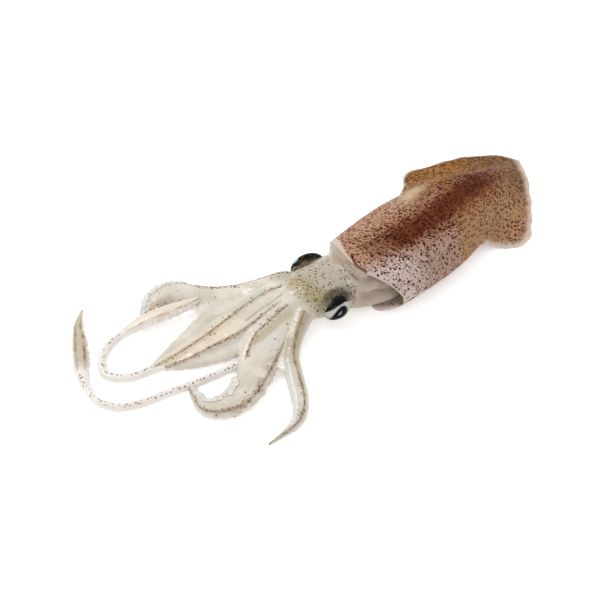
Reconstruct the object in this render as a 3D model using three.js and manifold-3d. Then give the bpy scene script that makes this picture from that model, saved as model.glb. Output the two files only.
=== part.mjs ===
// A whole raw squid, lying on its belly with its arms spread and both long tentacles looped out.
// Millimetres. +X runs along the mantle to the tail, +Y to the squid's left side as it lies, and
// +Z up from the table, which is z = 0. The animal is one piece of flesh, so it is one solid.
import * as THREE from 'three';
import { mergeVertices } from 'three/addons/utils/BufferGeometryUtils.js';
import Module from 'manifold-3d';

// The middle of the box that holds the squid in plan, which is moved to the part's origin.
const MIDDLE = [0.7, -1.6];

// Driving dimensions: the mantle, the tube of flesh that makes the body.
const RIM_X = 13.5;           // mean place of the open front rim
const TAIL_X = 172;           // tip of the tail
const MANTLE_Y = -29.5;       // the mantle's axis, which bends to TAIL_Y at the tail
const TAIL_Y = -21;
const MANTLE_HALF = 32;       // half width
const MANTLE_SWELL = 4;       // the middle is this much wider to each side
const MANTLE_HIGH = 33;       // height over the table
const MANTLE_WALL = 2.8;      // flesh at the rim
const RIM_ROUND = 0.01;       // the share of the length in which the rim's edge is rounded over
const MOUTH_DEEP = 17;        // how far in the open mouth goes before it is shut by the organs
const RIM_TILT = 9;           // the back of the rim reaches forward by this, the belly side back
const LAPPET = 3.8;           // the small lobe at the middle of the back
const FAR_BACK = 2.5;         // the far side's rim lies back by this
const BELLY_LIP = 17.5;       // the belly side's lobe, which lies forward on the table
const AXIS_SHARE = 0.47;      // the widest place's height, as a share of the mantle's own height
const SINK = 0.5;             // flesh is modelled this far below the table, then cut off flat

// The head, from inside the mantle to the crown of the arms: x, y, z, half width, half height.
const HEAD = [
  [34, -28, 15, 22, 11], [20, -26.5, 15, 21.5, 12], [6, -22.5, 14.5, 19, 12.3],
  [-4, -20, 13, 19.5, 12.5], [-14, -18, 12.2, 20, 12.5], [-24, -15, 11.5, 18.5, 12],
  [-33, -12, 10, 13.5, 10], [-42, -10, 8.2, 9.5, 7.5],
];
// Each eye stands out of the side of the head: x, y, z, and the radius along, across and up.
const EYES = [[-18, -35.5, 11.5, 9.5, 6.5, 8.5], [-8, 0.5, 14, 11.5, 6.5, 9]];
const HEAD_YAW = 0.28;        // the eyes' line is turned by this from the mantle's axis, in radians
// The collar, the roll of neck flesh that fills the mantle's mouth on the back and the far side. Its
// rings go from inside the mouth to the head: the step from the rim along x, and the share of the
// mouth's own size.
const COLLAR = [[14, 0.86], [6, 0.95], [1, 0.96], [-1.5, 0.93], [-3, 0.87], [-4, 0.78]];
// The neck's own section, to which the collar narrows on the near side: y, z, half width, half height.
const NECK = [-24, 14, 18, 11];
// The funnel, a short flat tube under the neck on the near side.
const FUNNEL = [
  [30, -44, 8, 8, 5], [19, -43, 8, 9, 6], [8, -39, 8, 8.5, 6], [-2, -35, 7.5, 7, 5],
  [-7, -33, 7, 5.5, 3.5],
];

// The eight arms, each from the crown to its tip: x, y, z, half width, half height.
const ARMS = {
  far_side: [
    [-21, -9, 12, 8, 8], [-27, 2, 10.5, 8, 7], [-37, 9, 8, 8, 6], [-50, 18, 5.5, 8, 5],
    [-62, 28, 4.5, 8, 4.5], [-72, 40, 4.5, 8, 4.5], [-80, 49, 4.5, 8.5, 4.5], [-92, 51, 4, 7, 4],
    [-101, 47, 3, 4, 3], [-107, 43, 2, 1.5, 1.5],
  ],
  far_lower: [
    [-24, -8, 10, 8, 7], [-38, 3, 8, 8, 5.5], [-56, 11, 5, 8, 4], [-76, 15, 3.5, 8, 3.2],
    [-96, 14, 3, 6.5, 2.8], [-114, 13, 2.5, 4, 2.4], [-128, 13, 1.6, 1.2, 1.4],
  ],
  back_left: [
    [-26, -11, 14, 7, 7], [-38, -2, 12.5, 7, 6.5], [-54, 3, 9.5, 7, 6], [-73, 4, 7.5, 7, 5.5],
    [-91, 5, 5.5, 6, 4.5], [-110, 7, 4.2, 4.5, 3.8], [-129, 11, 2.5, 1.5, 2],
  ],
  back_right: [
    [-27, -13, 14, 7, 7], [-40, -9, 12.5, 7, 6.5], [-57, -7, 9.5, 7, 6], [-75, -6, 7.5, 6.5, 5.5],
    [-92, -2, 5.5, 5.5, 4.5], [-107, 1, 4, 4, 3.5], [-122, 6, 2.4, 1.4, 2],
  ],
  under: [
    [-26, -11, 8, 8, 6], [-52, -12, 6, 7, 5], [-72, -13, 4.5, 7, 4.2], [-89, -10, 3.5, 6, 3.4],
    [-104, -4, 3, 4.5, 2.8], [-118, 3, 2, 1.5, 1.6],
  ],
  near_upper: [
    [-28, -15, 13, 7, 7], [-43, -15, 11.5, 6.5, 6], [-58, -16, 9.5, 6, 5.5], [-70, -17, 7.5, 5.5, 5],
    [-80, -22, 5.5, 5, 4], [-88, -28, 4, 4.5, 3.2], [-98, -36, 3, 3, 2.4],
  ],
  near_lower: [
    [-28, -17, 11, 8, 7], [-47, -21, 8.5, 9, 5.5], [-65, -27, 6, 10.5, 4.6],
    [-82, -34, 5, 11.5, 4.2], [-96, -41, 4.6, 10.5, 4], [-108, -44, 4.2, 9.5, 3.8],
    [-119, -41, 3.8, 8, 3.4], [-125, -34, 3.3, 5.5, 3], [-124, -25, 2.8, 3.5, 2.5],
    [-121, -15, 2, 1.4, 1.6],
  ],
  near_side: [
    [-27, -20, 11, 8, 7.5], [-40, -27, 9, 6, 6.5], [-53, -34.5, 7, 5.2, 5.5], [-63.5, -43, 5.8, 5.3, 4.8],
    [-71, -54, 5, 5.7, 4.4], [-78, -65, 4.5, 5.8, 4], [-85, -74, 4, 5, 3.6], [-94, -79.5, 3.3, 3.6, 3],
    [-104, -80, 2.4, 2, 2], [-116, -79, 1.2, 0.8, 1],
  ],
};
// The two long tentacles: a round stalk, then a flat club. The second club lies over the far arm.
const TENTACLES = {
  outer: [
    [-64, -17, 3.5, 2.6, 2.5], [-84, -23, 2.6, 2.6, 2.5], [-98, -20, 2.4, 2.6, 2.4],
    [-114, -16, 2.3, 2.6, 2.3], [-132, -10, 2.3, 2.6, 2.3], [-149, -5, 2.3, 2.8, 2.3],
    [-162, 3, 2.3, 2.8, 2.3], [-168, 15, 2.3, 2.6, 2.3], [-166, 27, 2.3, 2.9, 2.3],
    [-161, 38, 2.6, 4.6, 2.6], [-153, 49, 2.8, 5.4, 2.8], [-146, 59, 2.6, 4.8, 2.6],
    [-139, 69, 2, 3.4, 2], [-128, 79, 1, 0.9, 0.9],
  ],
  inner: [
    [-96, 2, 3, 2.6, 2.6], [-114, 6, 2.8, 2.7, 2.5], [-129, 11, 2.4, 2.7, 2.4],
    [-143, 16, 2.4, 2.8, 2.4], [-151, 27, 2.4, 2.9, 2.4], [-145, 38, 2.4, 2.9, 2.4],
    [-134, 44, 2.6, 2.8, 2.5], [-122, 44.5, 3.5, 3, 2.5], [-110, 42, 6, 5, 2.8],
    [-97, 37, 8, 5.4, 3], [-85, 33, 8.4, 4.6, 2.8], [-73, 31, 7.8, 1.6, 1.8],
  ],
};
// Skin stretched between neighbouring arms: the pair, how far along each arm it reaches, and how far
// up from the arms' middles to their backs it lies.
const WEBS = [
  ['near_lower', 'near_side', 0.44, 0.48, 0.7], ['near_upper', 'near_lower', 0.8, 0.38, 0.5],
  ['far_side', 'far_lower', 0.6, 0.75, 0.7], ['far_lower', 'back_left', 0.85, 0.85, 0.6],
  ['back_left', 'back_right', 0.9, 0.92, 0.7], ['back_right', 'near_upper', 0.6, 0.72, 0.6],
  ['back_right', 'under', 0.8, 0.8, 0], ['under', 'near_upper', 0.45, 0.45, 0],
];
const WEB_THICK = 2.2;
const WEB_START = 0.04;       // the share of an arm's length that is inside the crown
const WEB_BOW = 0.3;          // the free edge falls back toward the crown by this share
const WEB_SAG = 0.9;          // the skin's middle hangs this far below its arms

// The fins: the side, where the root begins, the steepest fall over way out, and the edge from where
// it leaves the flank round to the tail: x, y, z.
const FINS = {
  near: {
    side: -1, rootX: 88, steep: 1,
    edge: [
      [81, -59, 13.5], [89, -59.7, 8.5], [96.5, -60.8, 3.5], [104.5, -68, 1.5], [114, -73.7, 1.6],
      [124, -72, 2], [134, -64.5, 2.2], [144, -55.5, 2.2], [154, -45, 2.4], [163, -35, 3],
      [172, -19.3, 4],
    ],
  },
  far: {
    side: 1, rootX: 82, steep: 0.65,
    edge: [
      [74, -1, 22], [82, 5, 15.5], [90, 10.3, 10.5], [96, 16.8, 6.5], [102, 22.3, 4.4], [111, 24, 3.2],
      [126, 18.5, 2.6], [141, 12, 2.8], [155, 3, 3.4], [165.5, -7.5, 3.8], [171.8, -20.6, 3.7],
    ],
  },
};
const FIN_ROOT_SHARE = 0.36;  // a fin's root lies this share of the half width from the middle line
const FIN_DIP = 1.1;          // and this far under the skin of the back
const FIN_ROOT_THICK = 3.2;
const FIN_EDGE_THICK = 1.5;
const FIN_CLEAR = 1.2;        // how far a fin's upper face stands off the flank that it lies on
const FIN_SUNK = 1;           // how deep its lower face lies in the mantle's flesh there

// How finely the faces are cut.
const MANTLE_SIDES = 34;
const MANTLE_RINGS = 24;
const FIN_RINGS = 24;
const FIN_ACROSS = 10;
const WEB_RINGS = 9;
const WEB_ACROSS = 5;
const HEAD_SIDES = 22;
const HEAD_STEPS = 3;
const FUNNEL_SIDES = 12;
const ARM_SIDES = 10;
const TENTACLE_SIDES = 8;
const ARM_STEPS = 2;
const TENTACLE_STEPS = 3;

const wasm = await Module();
wasm.setup();

const { clamp, lerp, smoothstep } = THREE.MathUtils;

// A signed power, which squares off the circle in a section.
function bend(value, power) {
  return Math.sign(value) * Math.abs(value) ** power;
}

// A closed body through rings of points, with a fan over each end. The rings run so that the first
// end's face looks back along them.
function loft(rings) {
  const count = rings[0].length;
  const points = rings.flat();
  const faces = [];
  for (let i = 0; i + 1 < rings.length; i += 1) {
    for (let j = 0; j < count; j += 1) {
      const a = i * count + j;
      const b = i * count + ((j + 1) % count);
      faces.push(a, b, a + count, b, b + count, a + count);
    }
  }
  const last = (rings.length - 1) * count;
  const ends = [rings[0], rings.at(-1)].map(middle);
  points.push(...ends);
  for (let j = 0; j < count; j += 1) {
    const next = (j + 1) % count;
    faces.push(points.length - 2, next, j);
    faces.push(points.length - 1, last + j, last + next);
  }
  return body(points, faces);
}

function middle(ring) {
  const sum = ring.reduce((total, point) => total.add(point), new THREE.Vector3());
  return sum.divideScalar(ring.length);
}

// Points and faces as a solid, turned the right way out.
function body(points, faces) {
  const geometry = new THREE.BufferGeometry().setFromPoints(points);
  geometry.setIndex(faces);
  return solid(geometry);
}

function solid(geometry) {
  geometry.deleteAttribute('normal');
  geometry.deleteAttribute('uv');
  const merged = mergeVertices(geometry, 1e-4);
  const vertProperties = new Float32Array(merged.attributes.position.array);
  const triVerts = new Uint32Array(merged.index.array);
  const made = new wasm.Manifold(new wasm.Mesh({ numProp: 3, vertProperties, triVerts }));
  if (made.volume() > 0) return made;
  return new wasm.Manifold(new wasm.Mesh({ numProp: 3, vertProperties, triVerts: triVerts.reverse() }));
}

// A smooth curve through points.
function curveThrough(points) {
  return new THREE.CatmullRomCurve3(points, false, 'catmullrom');
}

// A smooth run of stations: a curve through their places, and their two half sizes along it.
function smooth(stations, steps) {
  const places = curveThrough(stations.map((s) => new THREE.Vector3(s[0], s[1], s[2])));
  const sizes = curveThrough(stations.map((s) => new THREE.Vector3(s[3], s[4], 0)));
  const last = (stations.length - 1) * steps;
  return Array.from({ length: last + 1 }, (_, i) => {
    const t = i / last;
    const size = sizes.getPoint(t);
    return { at: places.getPoint(t), along: places.getTangent(t), wide: size.x, high: size.y };
  });
}

// A limb of flesh along stations: its wide way stays level, and its section is a squared-off oval.
function limb(stations, sides, steps, square = 0.85) {
  const up = new THREE.Vector3(0, 0, 1);
  const rings = smooth(stations, steps).map(({ at, along, wide, high }) => {
    const across = new THREE.Vector3().crossVectors(up, along).normalize();
    const rise = new THREE.Vector3().crossVectors(along, across);
    return Array.from({ length: sides }, (_, j) => {
      const turn = (2 * Math.PI * j) / sides;
      const point = at.clone().addScaledVector(across, wide * bend(Math.cos(turn), square));
      return point.addScaledVector(rise, high * bend(Math.sin(turn), square));
    });
  });
  return loft(rings);
}

// The mantle's plan and height at a share s of the way from the rim to the tail.
function mantleAt(s) {
  return {
    y: lerp(MANTLE_Y, TAIL_Y, s ** 3),
    half: (MANTLE_HALF + MANTLE_SWELL * Math.sin(Math.PI * s)) * (1 - s ** 3) ** 1.6,
    high: MANTLE_HIGH * (1 - s ** 2.4) ** 0.85,
  };
}

// The rim's place for a turn round the section, from the left side over the back.
function rimX(turn) {
  const lobe = Math.exp(-(((turn - 1.75) / 0.5) ** 2));
  const lip = Math.exp(-(((turn - 4.35) / 0.55) ** 2));
  const back = Math.exp(-(((turn - 0.5) / 0.6) ** 2));
  return RIM_X - RIM_TILT * Math.sin(turn + 0.2) + FAR_BACK * back - LAPPET * lobe - BELLY_LIP * lip;
}

// One ring of the mantle's skin, at a share s of its length and a depth into the flesh.
function mantleRing(s, depth) {
  const { y, half, high } = mantleAt(s);
  const axis = AXIS_SHARE * high;
  return Array.from({ length: MANTLE_SIDES }, (_, j) => {
    const turn = (2 * Math.PI * j) / MANTLE_SIDES;
    const below = Math.sin(turn) < 0;
    const power = below ? 0.62 : 1;
    const reach = below ? axis + SINK : high - axis;
    const x = lerp(rimX(turn), TAIL_X, s);
    const across = Math.max(half - depth, 0.4) * bend(Math.cos(turn), power);
    const up = Math.max(reach - depth, 0.3) * bend(Math.sin(turn), power);
    return new THREE.Vector3(x, y + across, axis + up);
  });
}

// The mantle: the skin from the mouth's blind end out over the rim and back to the tail.
function mantle() {
  const deep = MOUTH_DEEP / (TAIL_X - RIM_X);
  const rings = [
    mantleRing(deep, MANTLE_WALL + 1),
    mantleRing(0.5 * deep, MANTLE_WALL),
    mantleRing(RIM_ROUND, MANTLE_WALL - 0.6),
    mantleRing(0, MANTLE_WALL / 2),
    mantleRing(RIM_ROUND, 0),
  ];
  for (let i = 1; i <= MANTLE_RINGS; i += 1) {
    rings.push(mantleRing(RIM_ROUND + 0.985 * (i / MANTLE_RINGS) ** 0.85, 0));
  }
  return loft(rings);
}

// The collar: the mouth's own section, shrunk to the neck's on the near side, stepped forward.
function collar() {
  const [neckY, neckZ, neckHalf, neckHigh] = NECK;
  const rings = COLLAR.map(([step, share]) => {
    return mantleRing(0, 0).map((point, j) => {
      const turn = (2 * Math.PI * j) / MANTLE_SIDES;
      const far = 1 - smoothstep(turn, 1.8, 2.5) + smoothstep(turn, 5, 5.8);
      const y = lerp(neckY, MANTLE_Y + share * (point.y - MANTLE_Y), far);
      const z = lerp(neckZ, neckZ + share * (point.z - neckZ), far);
      const narrow = (1 - far) * Math.min(share + 0.05, 1);
      const across = narrow * neckHalf * Math.cos(turn);
      const up = narrow * neckHigh * Math.sin(turn);
      return new THREE.Vector3(point.x + step, y + across, z + up);
    });
  });
  return loft(rings);
}

// The height of the mantle's back over the table at a place in plan, or 0 outside it, with the
// mantle grown by a clearance.
function backHeight(x, y, clear) {
  const s = clamp((x - RIM_X) / (TAIL_X - RIM_X), 0, 1);
  const at = mantleAt(s);
  const across = (y - at.y) / (at.half + clear);
  if (Math.abs(across) >= 1) return 0;
  const axis = AXIS_SHARE * at.high;
  return axis + (at.high - axis + clear) * Math.sqrt(1 - across ** 2);
}

// A fin: a thin sheet from a line on the back, over the flank and down to its edge on the table.
function fin({ side, rootX, steep, edge }) {
  const outline = curveThrough(edge.map((p) => new THREE.Vector3(...p)));
  const rings = [];
  for (let i = 0; i <= FIN_RINGS; i += 1) {
    const u = i / FIN_RINGS;
    const rim = outline.getPoint(u);
    const x = lerp(rootX, TAIL_X - 3, u);
    const s = (x - RIM_X) / (TAIL_X - RIM_X);
    const y = mantleAt(s).y + side * FIN_ROOT_SHARE * mantleAt(s).half;
    rings.push(finRing(new THREE.Vector3(x, y, backHeight(x, y, 0) - FIN_DIP), rim, steep));
  }
  return loft(rings);
}

// One section of a fin, out along its upper face and back along its lower one.
function finRing(root, rim, steep) {
  const top = Array.from({ length: FIN_ACROSS + 1 }, (_, k) => {
    const v = k / FIN_ACROSS;
    const point = root.clone().lerp(rim, v);
    const drape = rim.z + (root.z - rim.z) * (1 - v) ** 1.2;
    const hug = backHeight(point.x, point.y, FIN_CLEAR) - FIN_CLEAR * (1 - Math.min(3 * v, 1));
    return point.setZ(Math.max(drape, Math.min(hug, root.z + 1.5)));
  });
  for (let k = 1; k <= FIN_ACROSS; k += 1) {
    const step = Math.hypot(top[k].x - top[k - 1].x, top[k].y - top[k - 1].y);
    top[k].z = Math.max(top[k].z, top[k - 1].z - steep * step);
  }
  const eased = top.map((point, k) => {
    const beside = top[Math.max(k - 1, 0)].z + top[Math.min(k + 1, FIN_ACROSS)].z;
    return point.clone().setZ(Math.max(0.25 * beside + 0.5 * point.z, 1));
  });
  const low = eased.map((point, k) => {
    const thick = lerp(FIN_ROOT_THICK, FIN_EDGE_THICK, k / FIN_ACROSS);
    const back = backHeight(point.x, point.y, 0);
    const sunk = back > 0 ? back - FIN_SUNK : point.z;
    return point.clone().setZ(Math.min(point.z - thick, sunk));
  });
  return [...eased, ...low.reverse()];
}

// A web: skin between two arms, from the crown to a free edge that hangs in a bow.
function web(first, second, firstReach, secondReach, lift) {
  const curves = [first, second].map((name) => {
    return curveThrough(ARMS[name].map((s) => new THREE.Vector3(s[0], s[1], s[2] + lift * s[4])));
  });
  const rings = [];
  for (let i = 0; i <= WEB_RINGS; i += 1) {
    const top = Array.from({ length: WEB_ACROSS + 1 }, (_, k) => {
      const w = k / WEB_ACROSS;
      const bow = 1 - WEB_BOW * Math.sin(Math.PI * w);
      const start = curves[0].getPoint(lerp(WEB_START, firstReach * bow, i / WEB_RINGS));
      const end = curves[1].getPoint(lerp(WEB_START, secondReach * bow, i / WEB_RINGS));
      const point = start.lerp(end, w);
      point.z -= WEB_SAG * Math.sin(Math.PI * w);
      return point;
    });
    const low = top.map((point) => point.clone().setZ(point.z - WEB_THICK));
    rings.push([...top, ...low.reverse()]);
  }
  return loft(rings);
}

function eye([x, y, z, along, across, up]) {
  const ball = new THREE.SphereGeometry(1, 16, 10);
  ball.scale(along, across, up);
  ball.rotateZ(-HEAD_YAW);
  ball.translate(x, y, z);
  return solid(ball);
}

// Everything below the table is cut away, which leaves the flat patches that the squid rests on.
function tableCut() {
  const block = new THREE.BoxGeometry(600, 400, 40);
  block.translate(0, 0, -20);
  return solid(block);
}

function wholeSquid() {
  const head = limb(HEAD, HEAD_SIDES, HEAD_STEPS, 1);
  const funnel = limb(FUNNEL, FUNNEL_SIDES, ARM_STEPS);
  const arms = Object.values(ARMS).map((stations) => limb(stations, ARM_SIDES, ARM_STEPS));
  const tentacles = Object.values(TENTACLES).map((stations) => {
    return limb(stations, TENTACLE_SIDES, TENTACLE_STEPS);
  });
  const fins = Object.values(FINS).map(fin);
  const webs = WEBS.map((pair) => web(...pair));
  const trunk = [mantle(), collar(), ...fins, head, funnel, ...EYES.map(eye)];
  const pieces = [...trunk, ...arms, ...tentacles, ...webs];
  const joined = pieces.reduce((sum, piece) => sum.add(piece));
  return joined.subtract(tableCut()).translate([-MIDDLE[0], -MIDDLE[1], 0]);
}

function toGeometry(manifold) {
  const { vertProperties, triVerts, numProp } = manifold.getMesh();
  const points = Array.from({ length: vertProperties.length / numProp }, (_, i) => {
    return new THREE.Vector3().fromArray(vertProperties, i * numProp);
  });
  const geometry = new THREE.BufferGeometry().setFromPoints(points);
  geometry.setIndex(new THREE.BufferAttribute(new Uint32Array(triVerts), 1));
  geometry.computeVertexNormals();
  return geometry;
}

const flesh = new THREE.MeshStandardMaterial({ color: '#cdbfae', roughness: 0.35, metalness: 0 });
const squid = new THREE.Mesh(toGeometry(wholeSquid()), flesh);
squid.name = 'squid';

const part = new THREE.Group();
part.add(squid);
export default part;
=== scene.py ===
# %% [markdown]
# # A whole raw squid
# A raw squid lies belly down on a pale table. Its body, the mantle, is a tube of flesh that is open
# at the head end and carries two fins at the tail. The head has an eye on each side, and eight arms
# and two long tentacles spread in front of it. The imported CAD model fixes the size and the place of
# everything, so it is loaded first.

# %% Load the imported model
import math

import bpy
import numpy as np
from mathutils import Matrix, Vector


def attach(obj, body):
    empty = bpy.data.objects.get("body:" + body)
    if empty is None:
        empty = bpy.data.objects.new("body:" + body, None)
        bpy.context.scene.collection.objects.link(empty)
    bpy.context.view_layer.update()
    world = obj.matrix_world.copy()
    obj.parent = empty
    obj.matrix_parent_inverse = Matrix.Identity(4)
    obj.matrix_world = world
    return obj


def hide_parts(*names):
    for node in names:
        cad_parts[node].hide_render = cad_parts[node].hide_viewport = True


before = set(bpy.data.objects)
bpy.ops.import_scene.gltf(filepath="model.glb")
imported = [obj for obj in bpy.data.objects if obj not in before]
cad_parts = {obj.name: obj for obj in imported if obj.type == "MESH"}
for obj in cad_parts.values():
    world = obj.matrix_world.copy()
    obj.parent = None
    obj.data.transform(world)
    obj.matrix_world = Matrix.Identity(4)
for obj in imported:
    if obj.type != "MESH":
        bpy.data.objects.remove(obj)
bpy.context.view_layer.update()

# %% [markdown]
# ## Sizes
# The sizes are in millimetres, as a fishmonger would measure the animal, and MM turns them into
# Blender's metres. The limbs are rows of stations: a place, then the half width and the half height
# of the flesh there. A smooth curve through the stations gives everything in between. CENTRE is the
# place, in that measure, that the CAD has at its origin, and FAR_OFF a distance past every fade.

# %% Sizes of the mantle, the head and the eyes
MM = 0.001
CENTRE = np.array([0.7, -1.6, 0.0])
FAR_OFF = 9.0
FIN_ROOT_SHARE, FIN_DIP, FIN_CLEAR, FIN_SUNK = 0.36, 1.1, 1.2, 1.0
FIN_THICK, FIN_THINS, FIN_LOWEST = 3.2, 1.8, 0.9
FIN_SCALLOP, FIN_RIPPLE, FIN_STANDS, FIN_EASE_ROUNDS = 0.5, 0.75, 1.5, 14
MANTLE_VOXEL, FLESH_VOXEL, EASE_ROUNDS = 0.66 * MM, 0.62 * MM, 6
RIM_X, TAIL_X = 13.5, 172.0
MANTLE_Y, TAIL_Y = -29.5, -21.0
MANTLE_HALF, MANTLE_SWELL, MANTLE_HIGH = 32.0, 4.0, 33.0
BELLY_SQUARE, BELLY_PRESS, THINNEST = 0.62, 0.5, (0.4, 0.3)
AXIS_SHARE = 0.47
MOUTH_DEEP = 17.0
WALL, THIN_FAR, THIN_NEAR = 2.7, 1.0, 1.1
RIM_TILT, LAPPET, FAR_BACK, BELLY_LIP = 9.0, 3.8, 2.5, 17.5
COLLAR = [[14, 0.86], [6, 0.95], [1, 0.96], [-1.5, 0.93], [-3, 0.87], [-4, 0.78]]
NECK = (-24, 14, 18, 11)
HEAD = [
    [34, -28, 15, 22, 11], [20, -26.5, 15, 21.5, 12], [6, -22.5, 14.5, 19, 12.3],
    [-4, -20, 13, 19.5, 12.5], [-14, -18, 12.2, 20, 12.5], [-24, -15, 11.5, 18.5, 12],
    [-33, -12, 10, 13.5, 10], [-42, -10, 8.2, 9.5, 7.5],
]
FUNNEL = [
    [30, -44, 8, 8, 5], [19, -43, 8, 9, 6], [8, -39, 8, 8.5, 6], [-2, -35, 7.5, 7, 5],
    [-7, -33, 7, 5.5, 3.5],
]
HEAD_YAW = 0.28
EYES = {
    # lid: how far the opening reaches below and above the ball's outermost place, in degrees
    "near": {"middle": (-18, -35.5, 11.5), "radii": (9.5, 6.5, 8.5), "side": -1, "lid": (-60, 72)},
    "far": {"middle": (-8, 0.5, 14), "radii": (11.5, 6.5, 9), "side": 1, "lid": (-50, 118)},
}
print("mantle, millimetres:", TAIL_X - RIM_X, "long and", MANTLE_HIGH, "high")

# %% Sizes of the arms and the tentacles
ARMS = {
    "far_side": [
        [-21, -9, 12, 8, 8], [-27, 2, 10.5, 8, 7], [-37, 9, 8, 8, 6], [-50, 18, 5.5, 8, 5],
        [-62, 28, 4.5, 8, 4.5], [-72, 40, 4.5, 8, 4.5], [-80, 49, 4.5, 8.5, 4.5], [-92, 51, 4, 7, 4],
        [-101, 47, 3, 4, 3], [-107, 43, 2, 1.5, 1.5],
    ],
    "far_lower": [
        [-24, -8, 10, 8, 7], [-38, 3, 8, 8, 5.5], [-56, 11, 5, 8, 4], [-76, 15, 3.5, 8, 3.2],
        [-96, 14, 3, 6.5, 2.8], [-114, 13, 2.5, 4, 2.4], [-128, 13, 1.6, 1.2, 1.4],
    ],
    "back_left": [
        [-26, -11, 14, 7, 7], [-38, -2, 12.5, 7, 6.5], [-54, 3, 9.5, 7, 6], [-73, 4, 7.5, 7, 5.5],
        [-91, 5, 5.5, 6, 4.5], [-110, 7, 4.2, 4.5, 3.8], [-129, 11, 2.5, 1.5, 2],
    ],
    "back_right": [
        [-27, -13, 14, 7, 7], [-40, -9, 12.5, 7, 6.5], [-57, -7, 9.5, 7, 6], [-75, -6, 7.5, 6.5, 5.5],
        [-92, -2, 5.5, 5.5, 4.5], [-107, 1, 4, 4, 3.5], [-122, 6, 2.4, 1.4, 2],
    ],
    "under": [
        [-26, -11, 8, 8, 6], [-52, -12, 6, 7, 5], [-72, -13, 4.5, 7, 4.2], [-89, -10, 3.5, 6, 3.4],
        [-104, -4, 3, 4.5, 2.8], [-118, 3, 2, 1.5, 1.6],
    ],
    "near_upper": [
        [-28, -15, 13, 7, 7], [-43, -15, 11.5, 6.5, 6], [-58, -16, 9.5, 6, 5.5], [-70, -17, 7.5, 5.5, 5],
        [-80, -22, 5.5, 5, 4], [-88, -28, 4, 4.5, 3.2], [-98, -36, 3, 3, 2.4],
    ],
    "near_lower": [
        [-28, -17, 11, 8, 7], [-47, -21, 8.5, 9, 5.5], [-65, -27, 6, 10.5, 4.6],
        [-82, -34, 5, 11.5, 4.2], [-96, -41, 4.6, 10.5, 4], [-108, -44, 4.2, 9.5, 3.8],
        [-119, -41, 3.8, 8, 3.4], [-125, -34, 3.3, 5.5, 3], [-124, -25, 2.8, 3.5, 2.5],
        [-121, -15, 2, 1.4, 1.6],
    ],
    "near_side": [
        [-27, -20, 11, 8, 7.5], [-40, -27, 9, 6, 6.5], [-53, -34.5, 7, 5.2, 5.5], [-63.5, -43, 5.8, 5.3, 4.8],
        [-71, -54, 5, 5.7, 4.4], [-78, -65, 4.5, 5.8, 4], [-85, -74, 4, 5, 3.6], [-94, -79.5, 3.3, 3.6, 3],
        [-104, -80, 2.4, 2, 2], [-116, -79, 1.2, 0.8, 1],
    ],
}
TENTACLES = {
    "outer": [
        [-64, -17, 3.5, 2.6, 2.5], [-84, -23, 2.6, 2.6, 2.5], [-98, -20, 2.4, 2.6, 2.4],
        [-114, -16, 2.3, 2.6, 2.3], [-132, -10, 2.3, 2.6, 2.3], [-149, -5, 2.3, 2.8, 2.3],
        [-162, 3, 2.3, 2.8, 2.3], [-168, 15, 2.3, 2.6, 2.3], [-166, 27, 2.3, 2.9, 2.3],
        [-161, 38, 2.6, 4.6, 2.6], [-153, 49, 2.8, 5.4, 2.8], [-146, 59, 2.6, 4.8, 2.6],
        [-139, 69, 2, 3.4, 2], [-128, 79, 1, 0.9, 0.9],
    ],
    "inner": [
        [-96, 2, 3, 2.6, 2.6], [-114, 6, 2.8, 2.7, 2.5], [-129, 11, 2.4, 2.7, 2.4],
        [-143, 16, 2.4, 2.8, 2.4], [-151, 27, 2.4, 2.9, 2.4], [-145, 38, 2.4, 2.9, 2.4],
        [-134, 44, 2.6, 2.8, 2.5], [-122, 44.5, 3.5, 3, 2.5], [-110, 42, 6, 5, 2.8],
        [-97, 37, 8, 5.4, 3], [-85, 33, 8.4, 4.6, 2.8], [-73, 31, 7.8, 1.6, 1.8],
    ],
}
WEBS = [
    ("near_lower", "near_side", 0.44, 0.48, 0.75), ("near_upper", "near_lower", 0.8, 0.38, 0.6),
    ("far_side", "far_lower", 0.6, 0.75, 0.8), ("far_lower", "back_left", 0.85, 0.85, 0.75),
    ("back_left", "back_right", 0.9, 0.92, 0.85), ("back_right", "near_upper", 0.6, 0.72, 0.75),
    ("back_right", "under", 0.8, 0.8, 0.0), ("under", "near_upper", 0.45, 0.45, 0.0),
]
FINS = {
    "near": {
        "side": -1, "root_x": 88, "steep": 2.4,
        "edge": [
            [81, -59, 13.5], [89, -59.7, 8.5], [96.5, -60.8, 3.5], [104.5, -68, 1.5], [114, -73.7, 1.6],
            [124, -72, 2], [134, -64.5, 2.2], [144, -55.5, 2.2], [154, -45, 2.4], [163, -35, 3],
            [172, -19.3, 4],
        ],
    },
    "far": {
        "side": 1, "root_x": 82, "steep": 0.65,
        "edge": [
            [74, -1, 22], [82, 5, 15.5], [90, 10.3, 10.5], [96, 16.8, 6.5], [102, 22.3, 4.4],
            [111, 24, 3.2], [126, 18.5, 2.6], [141, 12, 2.8], [155, 3, 3.4], [165.5, -7.5, 3.8],
            [171.8, -20.6, 3.7],
        ],
    },
}
print("limbs:", len(ARMS), "arms and", len(TENTACLES), "tentacles")

# %% [markdown]
# ## The camera
# The squid is seen from above and from its right side, at about 47 degrees over the table. The
# camera comes first, so that each later step can be looked at from the same place. A long lens keeps
# the near arms and the far fin in one scale.

# %% Camera
LOOK_AT = Vector((-0.0232, -0.0064, 0.0))
ELEVATION = math.radians(47.5)
TURN = math.radians(43.7)
DISTANCE = 1.1
LENS = 104.76

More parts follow.
